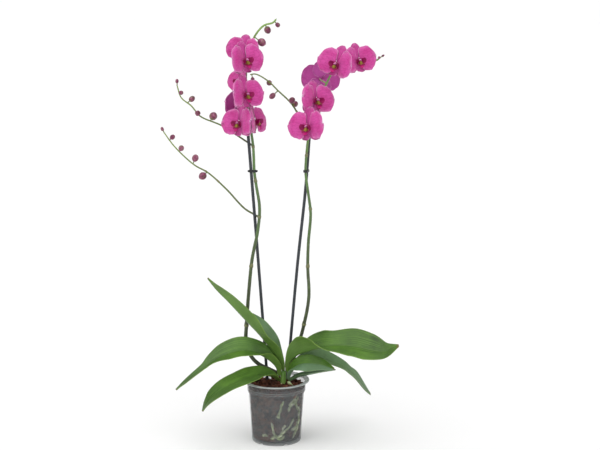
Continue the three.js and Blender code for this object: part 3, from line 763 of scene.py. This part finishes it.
def lathe(profile, segments, lift=None):
    """Turns a profile round the pot's axis. lift(angle) raises its lowest edge, up to a height of SKIRT."""
    shape = Shape()
    verts, marks = [], []
    count = len(profile)
    for i in range(segments):
        angle = TURN * i / segments
        for k, (radius, z) in enumerate(profile):
            if lift and z < SKIRT:
                z += lift(angle) * (1 - z / SKIRT)
            verts.append(Vector((radius * math.sin(angle), -radius * math.cos(angle), z)) * MM)
            marks.append((i / segments, k / count, 0))
    on_axis = [radius < TINY for radius, z in profile]
    faces = [face for face in ring_faces(segments, count, closed=True, flip=True)
             if not all(on_axis[vertex % count] for vertex in face)]
    shape.add(verts, faces, marks)
    return shape


def make_pot():
    weld(add_piece("pot_wall", lathe(wall_profile(), 180, notch_lift), pot_paint(), "pot", "pot"))
    add_piece("pot_rim", lathe(rim_profile(), 180), rim_paint(), "pot", "pot")


def chip_shape(shape, centre, turn, size, rng):
    """One angular chip of bark: a box whose corners and edges are broken unevenly."""
    tone = rng.random()
    verts = []
    for x, y, z in itertools.product(*CHIP_CUTS):
        jitter = Vector([rng.uniform(-reach, reach) for reach in CHIP_JITTER])
        corner = Vector((x, y, z)) * (CHIP_CORNER if abs(x) == 1 and abs(y) == 1 else 1.0)
        verts.append(centre + turn @ Vector(a * b for a, b in zip(corner + jitter, size)))
    faces = []
    for i in range(2):
        for j in range(2):
            a = (i * 3 + j) * 2
            faces.append((a + 2, a + 8, a + 6, a))
            faces.append((a + 1, a + 7, a + 9, a + 3))
    for i in range(2):
        a, b = i * 6, (i + 1) * 6
        faces.append((a, b, b + 1, a + 1))
        faces.append((a + 4, a + 5, b + 5, b + 4))
    for j in range(2):
        a, b = j * 2, (j + 1) * 2
        faces.append((a, a + 1, b + 1, b))
        faces.append((a + 12, b + 12, b + 13, a + 13))
    shape.add(verts, faces, [(tone, rng.random(), 0)] * len(verts))


def bark_height(x, y):
    """The bark's surface, in millimetres, as lumpy as the CAD solid's."""
    lump = math.sin(0.21 * x + 1) * math.cos(0.17 * y) + 0.5 * math.sin(0.4 * y + 0.3 * x)
    return BARK_TOP + 1.8 * lump


def random_turn(rng, tilt):
    spin = Matrix.Rotation(rng.uniform(0, TURN), 3, "Z")
    lean = Matrix.Rotation(rng.uniform(-tilt, tilt), 3, "X")
    return spin @ lean @ Matrix.Rotation(rng.uniform(-tilt, tilt), 3, "Y")


def wall_root(*turns):
    """A root that runs behind the clear wall: each turn is an angle from the front and a height."""
    points = []
    for angle, z in turns:
        reach, turn = wall_radius(z) - POT["wall"] - WALL_ROOT_GAP, math.radians(angle)
        points.append((reach * math.sin(turn), -reach * math.cos(turn), z))
    return points


ROOT_LINES = {
    "root_1": [[(9, -2, 106), (9, -8, 99), (8, -18, 90), (10, -30, 80)]],
    "root_2": [[(20, -1, 108), (27, -6, 104), (31, -13, 97), (31, -20, 88)]],
    "root_3": [wall_root((2, 52), (7, 60), (11, 70), (13, 78), (18, 84)), wall_root((4, 55), (9, 52))],
    "root_4": [wall_root((28, 62), (34, 72), (48, 78), (60, 86)), wall_root((30, 74), (42, 82), (52, 90)),
               wall_root((44, 78), (54, 70), (60, 60))],
    "root_5": [wall_root((-12, 44), (-8, 34), (-6, 24), (4, 16), (20, 26), (34, 34), (46, 48)),
               wall_root((-14, 12), (-2, 16), (10, 12), (22, 18)), wall_root((12, 22), (18, 34), (24, 38)),
               wall_root((-36, 16), (-28, 19), (-22, 16))],
    "root_6": [wall_root((44, 10), (52, 18), (62, 32), (66, 50), (70, 66)),
               wall_root((40, 26), (54, 30), (66, 42))],
}


def top_chips(rng):
    shape = Shape()
    for _ in range(TOP_CHIPS["tries"]):
        reach = math.sqrt(rng.random()) * TOP_CHIPS["reach"]
        angle = rng.uniform(0, TURN)
        x, y = reach * math.cos(angle), reach * math.sin(angle)
        if math.hypot(x - CROWN["x"], y - CROWN["y"]) < TOP_CHIPS["crown_gap"]:
            continue
        long = rng.uniform(*TOP_CHIPS["long"])
        size = Vector((long, long * rng.uniform(*TOP_CHIPS["wide"]), rng.uniform(*TOP_CHIPS["thick"]))) * MM
        z = bark_height(x, y) - TOP_CHIPS["sunk"] + rng.uniform(*TOP_CHIPS["lift"])
        chip_shape(shape, Vector((x, y, z)) * MM, random_turn(rng, TOP_CHIPS["tilt"]), size, rng)
    return shape


def wall_chips(rng):
    """The chips that show through the wall. They keep clear of the roots."""
    shape = Shape()
    beds = [point for lines in ROOT_LINES.values() for line in lines for point in Curve(line).spaced(24)]
    tilt = WALL_CHIPS["tilt"]
    for _ in range(WALL_CHIPS["tries"]):
        angle, z = rng.uniform(0, TURN), rng.uniform(*WALL_CHIPS["heights"])
        depth = rng.uniform(*WALL_CHIPS["depth"])
        reach = wall_radius(z) - POT["wall"] - WALL_CHIPS["gap"] - depth
        around = Matrix.Rotation(angle, 3, "Z")
        spin = Matrix.Rotation(rng.uniform(0, math.pi), 3, "X")
        face = spin @ Matrix.Rotation(rng.uniform(-tilt, tilt), 3, "Y")
        long = rng.uniform(*WALL_CHIPS["long"])
        wide = long * rng.uniform(*WALL_CHIPS["wide"])
        size = Vector((depth * WALL_CHIPS["half"], long, wide)) * MM
        centre = around @ Vector((reach + depth * WALL_CHIPS["inset"], 0, 0)) + Vector((0, 0, z))
        if min((centre - point).length for point in beds) > WALL_CHIPS["root_gap"]:
            chip_shape(shape, centre * MM, around @ face, size, rng)
    return shape


def make_bark():
    rng = random.Random(SEED)
    material = bark_paint()
    weld(add_piece("bark_core", lathe(core_profile(), 64), material, "bark", "bark_mix"))
    add_piece("bark_chips_top", top_chips(rng), material, "bark", "bark_mix", flat=True)
    add_piece("bark_chips_wall", wall_chips(rng), material, "bark", "bark_mix", flat=True)


def make_roots():
    material = root_paint()
    for name, lines in ROOT_LINES.items():
        shape = Shape()
        for line in lines:
            path = path_through(line, 46)
            start = line[0][0] * 3.7

            def girth(t, angle):
                swell = 1.15 + 0.6 * noise.noise(Vector((start, 5 * t, 0)))
                return ROOT_RADIUS * MM * swell * (1 - 0.2 * t) * taper(t, 0.22)

            add_tube(shape, path, girth, lumps=0.3)
        add_piece(name, shape, material, "root", name)


# ---- Leaves and crown ----

KEEL_WIDTH = 0.05
LEAF_WAVE = 0.09
LEAF_THICKNESS = (1.9, 0.9)


def leaf_frame(tangent, side, roll):
    """The directions across the leaf and out of its upper face."""
    near = Vector((0, -1, 0))
    near = (near - tangent * near.dot(tangent)).normalized()
    up = tangent.cross(near) * side
    turn = Matrix.Rotation(math.radians(roll) * side, 3, tangent)
    return turn @ near, turn @ up


def fold_profile(fold, half):
    """One half of the leaf in section: it leaves the rounded keel at the fold's angle and arches over."""
    out, rise, profile = 0.0, 0.0, [(0.0, 0.0)]
    for i in range(half):
        share = (i + 0.5) / half
        angle = math.radians(fold) * (1 - math.exp(-share / 0.07)) * (1.2 - 0.3 * share)
        out += math.cos(angle) / half
        rise += math.sin(angle) / half
        profile.append((out, rise))
    return profile


def leaf_points(side, stations, seed, rows=84, cols=30):
    """The leaf's middle surface."""
    midrib, form = Curve(stations), Curve([s[3:] for s in stations])
    points = np.zeros((rows + 1, cols + 1, 3))
    half = cols // 2
    for j in range(rows + 1):
        t = j / rows
        half_width, roll, fold = form.at(t)
        near, up = leaf_frame(midrib.direction(t), side, roll)
        profile = fold_profile(fold, half)
        for i in range(cols + 1):
            a = (i - half) / half
            across, lift = profile[abs(i - half)]
            wave = noise.noise(Vector((seed * 7.3 + (2 if a > 0 else 0), t * 5.0, 0))) * LEAF_WAVE * a * a
            wave *= smooth(0.1, 0.3, t)
            offset = near * math.copysign(across, a) + up * (lift + wave)
            points[j, i] = (midrib.at(t) + offset * half_width) * MM
    return points


def make_leaves():
    middle, edge = LEAF_THICKNESS
    for index, (name, plan) in enumerate(LEAVES.items()):
        points = leaf_points(plan["side"], plan["stations"], index)
        if plan["side"] > 0:
            points = points[:, ::-1]
        across = np.abs(np.linspace(-1, 1, points.shape[1]))[None, :] * np.ones(points.shape[:2])
        thickness = lerp(middle, edge, across) * MM
        keel = np.exp(-(across / KEEL_WIDTH) ** 2) * MM
        shape = Shape()
        add_sheet(shape, points, thickness, front=-0.5 * keel, back=0.8 * keel)
        add_piece(name, shape, leaf_paint(name, *plan["painted_sheen"]), "leaf", name)


def make_crown():
    shape = Shape()
    x, y = CROWN["x"], CROWN["y"]
    path = path_through([(x - 3, y - 2, CROWN["bottom"]), (x - 1, y - 1, 104), (x, y, CROWN["top"])], 30)

    def girth(t, angle):
        return CROWN["radius"] * MM * (1.05 - 0.25 * t) * taper(t, 0.12) * (1 + 0.08 * math.cos(2 * angle))

    add_tube(shape, path, girth, 28)
    add_piece("crown", shape, stalk_paint("crown_skin", "8a9a5c", "6f9440", "5f8f3a"), "crown", "crown")


# ---- Stems, stakes and clips ----

STEM_GREENS = {"spike": ("3f4f2b", "50713a", "7a9c48"), "branch": ("4a5329", "61732f", "829544")}

# The levels of a sheath's outline, from its foot to its edge and back inside, and the girth at each level.
SHEATH = [(-1.0, 0.9), (-0.8, 1.22), (0.2, 1.28), (0.8, 1.2), (1.0, 1.06), (0.9, 0.9)]
SHEATH_FOOT = 1.8
STEM_STEPS = 240
SHEATH_SIDES = 20
CLIP = {"sides": 48, "slack": 0.3, "outside": 1.5, "height": 2.2, "chamfer": (0.4, 0.5),
        "grip": (1.5, 1.7, 2.0), "grip_gap": 0.6}


def stem_path(name):
    return path_through(STEMS[name]["points"], STEM_STEPS)


def stem_radius(name, share):
    return lerp(*STEMS[name]["radii"], share) * MM


def add_sheath(shape, path, index, radius, side_turn):
    """The papery sheath round a node: a thin closed ring whose upper edge rises to a point on one side."""
    point, way = path[index], (path[index + 1] - path[index - 1]).normalized()
    side = way.orthogonal().normalized()
    other = way.cross(side)
    verts, marks = [], []
    for level, swell in SHEATH:
        for k in range(SHEATH_SIDES):
            angle = TURN * k / SHEATH_SIDES
            reach = 3.0 + 4.5 * max(math.cos(angle - side_turn), 0) ** 2
            height = level * (reach if level > 0 else SHEATH_FOOT) * MM
            out = side * math.cos(angle) + other * math.sin(angle)
            verts.append(point + way * height + out * radius * swell)
            marks.append((k / SHEATH_SIDES, 0.5, 2))
    shape.add(verts, ring_faces(len(SHEATH), SHEATH_SIDES, closed=True), marks)


def make_stems():
    for name, plan in STEMS.items():
        path = stem_path(name)
        shape = Shape()

        def girth(t, angle):
            return stem_radius(name, t) * taper(t, 0.004)

        add_tube(shape, path, girth, 16, lumps=0.05)
        for order, z in enumerate(plan["nodes"]):
            index = min(range(2, len(path) - 2), key=lambda i: abs(path[i].z - z * MM))
            add_sheath(shape, path, index, stem_radius(name, index / len(path)), 1.6 + 2.9 * order)
        slot = name.split("_")[0]
        add_piece(name, shape, stem_paint(f"{name}_skin", plan["woody"], *STEM_GREENS[slot]), slot, name)


def make_stakes():
    material = stake_paint()
    for name, points in STAKES.items():
        path = path_through(points, 90)
        shape = Shape()
        add_tube(shape, path, lambda t, a: STAKE_RADIUS * MM * taper(t, 0.004), 20)
        add_piece(name, shape, material, "stake", name)


def at_height(points, z):
    path = Curve(points).spaced(500)
    return min(path, key=lambda p: abs(p.z - z))


def clip_section():
    """A section through the band, as radius from its end's axis and height."""
    inner, outer, height = STAKE_RADIUS + CLIP["slack"], STAKE_RADIUS + CLIP["outside"], CLIP["height"]
    across, up = CLIP["chamfer"]
    return [(inner, -height), (outer - across, -height), (outer, -height + up), (outer, height - up),
            (outer - across, height), (inner, height)]


def make_clips():
    """Each clip is a flat band round the stake and the spike, with a small grip at either end."""
    material = clip_paint()
    section = clip_section()
    for side in ("left", "right"):
        stake = at_height(STAKES[f"stake_{side}"], CLIP_HEIGHT)
        stem = at_height(STEMS[f"spike_{side}"]["points"], CLIP_HEIGHT)
        middle = (stake + stem) / 2
        way = Vector((stem.x - stake.x, stem.y - stake.y, 0))
        reach, way = way.length / 2, way.normalized()
        across = Vector((-way.y, way.x, 0))
        shape = Shape()
        verts, marks = [], []
        for k in range(CLIP["sides"]):
            angle = TURN * k / CLIP["sides"]
            end = reach if math.cos(angle) >= 0 else -reach
            for radius, z in section:
                place = way * (end + radius * math.cos(angle)) + across * radius * math.sin(angle)
                verts.append((middle + place + Vector((0, 0, z))) * MM)
                marks.append((k / CLIP["sides"], 0.5, 0))
        shape.add(verts, ring_faces(CLIP["sides"], len(section), closed=True, flip=True), marks)
        for end in (-1, 1):
            grip = middle + way * end * (reach + STAKE_RADIUS + CLIP["outside"] + CLIP["grip_gap"])
            add_blob(shape, grip * MM, Vector(CLIP["grip"]) * MM, rows=8, cols=12)
        add_piece(f"clip_{side}", shape, material, "clip", f"clip_{side}")


# ---- Flowers ----

TEPALS = {
    "petal": {"length": 33, "half_width": 22.5, "claw": 0.14, "round": 2.5, "shift": 0.86, "lean": 13,
              "cup": 5.5, "lift": 0.9, "tilt": 0.22},
    "dorsal": {"length": 29, "half_width": 12.5, "claw": 0.28, "round": 2.0, "shift": 0.95, "lean": 1,
               "cup": 3.0, "lift": -1.7, "tilt": 0.22},
    "lateral": {"length": 25, "half_width": 12, "claw": 0.3, "round": 2.0, "shift": 0.85, "lean": 0,
                "cup": 3.0, "lift": -1.7, "tilt": 0.0},
}
HUB_START = 2.2
SCALLOP = 0.11
RIPPLE = 3.4
FRILL = 2.6
CREASE = 0.9
TEPAL_THICKNESS = (0.9, 0.45)

# Which tepals a flower has: the piece, the kind, the turn from straight up in degrees, and rows and columns.
TEPAL_PLACES = [("petals", "petal", 82, 28, 26), ("petals", "petal", -82, 28, 26),
                ("sepals", "dorsal", 0, 18, 16), ("sepals", "lateral", 142, 18, 16),
                ("sepals", "lateral", -142, 18, 16)]

# The lip's rounded parts: centre, radii, kind, rows and columns.
THROAT = ((0, -2.6, 3.4), (7.4, 6.6, 2.2), 6, 12, 20)
CALLUS = ((0, -4.6, 7.4), (3.3, 3.8, 2.8), 4, 12, 16)
CALLUS_EARS = [((side * 1.5, -5.0, 9.4), (1.3, 1.6, 1.5), 4, 8, 10) for side in (-1, 1)]
LOBE_GRID = (14, 12)
LOBE_THICKNESS = 0.6
CURL_STEPS = 14

FLOWER_STALK = {"radius": 1.35, "foot": 0.35, "foot_end": 0.12, "top": 0.5, "top_start": 0.75}
BUD_STALK = {"radius": 1.0, "foot": 0.35, "foot_end": 0.2, "top": 0.4, "top_start": 0.5}


def tepal_width(plan, v):
    """The blade's half width at a share of its length: a narrow claw, then a rounded blade."""
    body = max(1 - abs(2 * v ** plan["shift"] - 1) ** plan["round"], 0.0) ** 0.5
    claw = plan["claw"] * (1 - smooth(0.2, 0.5, v))
    return plan["half_width"] * max(body * smooth(-0.04, 0.16, v), claw, 0.015)


def add_tepal(shape, kind, turn, seed, rows, cols):
    """One petal or sepal, with a scalloped outline and an edge that ripples."""
    plan = TEPALS[kind]
    points = np.zeros((rows + 1, cols + 1, 3))
    spin = Matrix.Rotation(math.radians(turn), 3, "Z")
    for j in range(rows + 1):
        v = 0.5 - 0.5 * math.cos(math.pi * j / rows)
        width = tepal_width(plan, v)
        share = width / plan["half_width"]
        scallops = [1 + SCALLOP * noise.noise(Vector((seed * 4.3, side * 5, 4.5 * v))) * smooth(0.15, 0.5, v)
                    for side in (-1, 1)]
        for i in range(cols + 1):
            u = math.sin(0.5 * math.pi * (2 * i / cols - 1))
            ripple = noise.noise(Vector((seed * 3.1, 2.2 * u + 9, 2.6 * v))) * RIPPLE
            frill = noise.noise(Vector((seed * 5.7, 5.0 * u, 7.0 * v))) * FRILL
            edge = max(u * u * share, v ** 3)
            crease = CREASE * math.exp(-(u / 0.12) ** 2) * (1 - v)
            depth = plan["lift"] + plan["lean"] * v - plan["cup"] * (0.75 * u * u * share + v ** 3)
            depth += (ripple + frill) * edge - crease
            point = spin @ Vector((u * width * scallops[u > 0], HUB_START + v * plan["length"], depth))
            point.z -= plan["tilt"] * point.y
            points[j, i] = point
    across = np.abs(np.linspace(-1, 1, cols + 1))[None, :] * np.ones((rows + 1, 1))
    middle, rim = TEPAL_THICKNESS
    add_sheet(shape, points, lerp(middle, rim, across))


def add_lobe(shape, kind, place):
    """A lobe of the lip: place(u, v) gives its points."""
    rows, cols = LOBE_GRID
    points = [[place(-1 + 2 * i / cols, j / rows) for i in range(cols + 1)] for j in range(rows + 1)]
    add_sheet(shape, np.array(points), LOBE_THICKNESS, kind)


def middle_lobe(u, v):
    width = 5.4 + 2.2 * math.exp(-((v - 0.35) / 0.25) ** 2) - 3.4 * smooth(0.5, 1.0, v)
    way = 13.0 * v
    front = 5.0 + way * 0.7 - 2.4 * v * v + 2.4 * u * u * (1 - 0.6 * v)
    return (u * width, -4.2 - way * 0.62 - 1.2 * v * v, front)


def side_lobe(sign):
    """The left lobe is the right one mirrored."""
    def place(u, v):
        u *= sign
        width = 5.6 * math.sqrt(max(1 - (1.6 * v - 0.75) ** 2, 0.03))
        out = 1.4 + 1.8 * math.sin(2.1 * v) + 0.6 * (u + 1) * width
        return (sign * out, -7.0 + 11.5 * v + 0.6 * u, 7.0 + 0.75 * u * width + 2.6 * v)
    return place


def tendril(sign):
    """One of the two curled tips of the middle lobe."""
    curl = []
    for i in range(CURL_STEPS + 1):
        share = i / CURL_STEPS
        turn, reach = 4.2 * share, 2.2 * (1 - 0.45 * share)
        curl.append(Vector((sign * (0.7 + 0.28 * i), -13.0 - 0.9 * reach * math.sin(turn),
                            11.0 + reach * math.cos(turn))))
    return curl


def lip_shape():
    """A cup of two side lobes and a middle lobe, with the dark throat and the callus inside it."""
    shape = Shape()
    add_lobe(shape, 0, middle_lobe)
    for part in (THROAT, CALLUS, *CALLUS_EARS):
        add_blob(shape, *part)
    for sign in (-1, 1):
        add_lobe(shape, 2, side_lobe(sign))
        add_tube(shape, tendril(sign), lambda t, a: 0.42 * (1 - 0.6 * t), 8, 6)
    return shape


def column_shape():
    shape = Shape()
    path = Curve([(0, 0, -3), (0, 0.4, 2), (0, 0.8, 5), (0, 0.2, 8)]).spaced(20)

    def girth(t, angle):
        return (2.4 - 0.4 * math.sin(math.pi * t)) * taper(t, 0.2) * (1 + 0.07 * math.cos(2 * angle))

    add_tube(shape, path, girth, 18)
    add_blob(shape, (0, 0.5, 8.2), (1.8, 1.5, 1.5))
    return shape


def flower_matrix(centre, yaw, nod, roll, size):
    return (Matrix.Translation(Vector(centre) * MM) @ Matrix.Rotation(math.radians(yaw), 4, "Z")
            @ Matrix.Rotation(math.radians(90 + nod), 4, "X") @ Matrix.Rotation(math.radians(roll), 4, "Z")
            @ Matrix.Scale(size * MM, 4))


def stalk_path(matrix, stem, centre, size, steps=24):
    """From the stem's surface, out and round into the back of the flower."""
    path = stem_path(stem)
    away = (nearest(path, Vector(centre) * MM)[0] - Vector(centre) * MM).length / MM / size
    behind = matrix @ Vector((0, -0.05 * away, -0.8 * away))
    root = nearest(path, behind)[0]
    bend = matrix @ Vector((0, 0, -0.6 * (matrix.inverted() @ root).length))
    end = matrix.translation
    shares = [i / steps for i in range(steps + 1)]
    return [root * (1 - t) ** 2 + 2 * bend * t * (1 - t) + end * t * t for t in shares]


def stalk_girth(plan):
    """A stalk is wider at its foot on the stem and under its flower or bud."""
    def girth(t, angle):
        foot = plan["foot"] * smooth(plan["foot_end"], 0, t)
        top = plan["top"] * smooth(plan["top_start"], 1, t)
        return plan["radius"] * MM * (1 + foot + top)
    return girth


def make_flowers():
    paints = {"petals": petal_paint("petal_skin", "ce4c9f", "c02f86", "9a1e6c", "db8cc2", "b84c9f"),
              "sepals": petal_paint("sepal_skin", "c84799", "b63284", "8f1f68", "d684b9", "b550a0"),
              "lip": lip_paint(), "column": column_paint(),
              "stalk": stalk_paint("flower_stalk_skin", "7f9a55", "8f8a6a", "b0709a")}
    for index, (name, (stem, centre, yaw, nod, roll, size)) in enumerate(FLOWERS.items()):
        matrix = flower_matrix(centre, yaw, nod, roll, size)
        parts = {"petals": Shape(), "sepals": Shape(), "lip": lip_shape(), "column": column_shape()}
        for order, (part, kind, turn, rows, cols) in enumerate(TEPAL_PLACES):
            add_tepal(parts[part], kind, turn, 10 * index + order + 1, rows, cols)
        for shape in parts.values():
            shape.move(matrix)
        parts["stalk"] = Shape()
        path = stalk_path(matrix, stem, centre, size)
        add_tube(parts["stalk"], path, stalk_girth(FLOWER_STALK), 12, lumps=0.05)
        for part, shape in parts.items():
            add_piece(f"{part}_{name}", shape, paints[part], "flower", f"flower_{name}")


# ---- Buds ----

def bud_form(seed):
    """Three sepals meet in shallow seams, and the tip is a little pointed."""
    def warp(way):
        turn = math.atan2(way.z, way.x)
        seam = abs(math.sin(1.5 * turn))
        dent = 0.07 * math.exp(-(seam / 0.2) ** 2) * (1 - way.y * way.y)
        bulge = 0.05 * noise.noise(way * 1.3 + Vector((seed, 0, 0)))
        return 1 - dent + bulge + 0.07 * max(way.y, 0) ** 6
    return warp


def bud_shape(root, centre, width, length, seed):
    """A bud and its straight stalk from the stem."""
    shape = Shape()
    radii = Vector((width, length, width)) * MM / 2
    add_blob(shape, (0, 0, 0), radii, 0, 18, 30, bud_form(seed))
    turn = Vector((0, 1, 0)).rotation_difference(centre - root).to_matrix().to_4x4()
    shape.move(Matrix.Translation(centre) @ turn)
    add_tube(shape, [root.lerp(centre, i / 12) for i in range(13)], stalk_girth(BUD_STALK), 10, 2)
    return shape


def make_buds():
    material = bud_paint()
    seed = 0
    for prefix, (stem, buds) in BUDS.items():
        path = stem_path(stem)
        for order, (x, y, z, width, length) in enumerate(buds):
            seed += 1
            centre = Vector((x, y, z)) * MM
            name = f"{prefix}_{order + 1}"
            shape = bud_shape(nearest(path, centre)[0], centre, width, length, seed)
            add_piece(name, shape, material, "bud", name)


# ---- Stage ----

FLOOR_REACH = 60

# The way to each soft sun, its power, and its width in degrees.
SUNS = {"key": ((-0.35, -0.5, 1.15), 2.3, 90), "fill": ((0.8, -0.7, 0.5), 0.5, 60)}
WORLD_FADE = {"From Min": 0.03, "From Max": 0.4, "To Min": 1.02, "To Max": 0.34}
CAMERA = {"place": (0.043, -2.4, 0.79), "lens": 81.6, "sensor": 36, "down": 9.3}


def make_floor():
    floor = Shape()
    corners = [(x * FLOOR_REACH, y * FLOOR_REACH, 0) for x, y in ((-1, -1), (1, -1), (1, 1), (-1, 1))]
    floor.add(corners, [(0, 1, 2, 3)], [(0, 0, 0)] * len(corners))
    mesh_object("floor", floor, floor_paint(), flat=True)


def make_lights():
    for name, (way, power, spread) in SUNS.items():
        light = bpy.data.lights.new(name, "SUN")
        light.energy = power
        light.angle = math.radians(spread)
        placed(name, light).rotation_euler = (-Vector(way)).to_track_quat("-Z", "Y").to_euler()


def make_world():
    """A white studio: bright round the horizon and softer overhead."""
    world = bpy.data.worlds.new("studio")
    world.use_nodes = True
    tree = world.node_tree
    place = tree.nodes.new("ShaderNodeTexCoord")
    split = tree.nodes.new("ShaderNodeSeparateXYZ")
    fade = tree.nodes.new("ShaderNodeMapRange")
    for name, value in WORLD_FADE.items():
        fade.inputs[name].default_value = value
    tree.links.new(place.outputs["Generated"], split.inputs[0])
    tree.links.new(split.outputs[2], fade.inputs["Value"])
    tree.links.new(fade.outputs[0], tree.nodes["Background"].inputs["Strength"])
    tree.nodes["Background"].inputs["Color"].default_value = (1, 1, 1, 1)
    bpy.context.scene.world = world
    bpy.context.scene.view_settings.view_transform = "Standard"


def make_camera():
    camera = bpy.data.cameras.new("camera")
    camera.lens = CAMERA["lens"]
    camera.sensor_width = CAMERA["sensor"]
    holder = placed("camera", camera)
    holder.location = CAMERA["place"]
    holder.rotation_euler = (math.radians(90 - CAMERA["down"]), 0, 0)
    bpy.context.scene.camera = holder


make_camera()
make_pot()
make_bark()
make_roots()
make_crown()
make_leaves()
make_stems()
make_stakes()
make_clips()
make_flowers()
make_buds()
make_floor()
make_world()
make_lights()
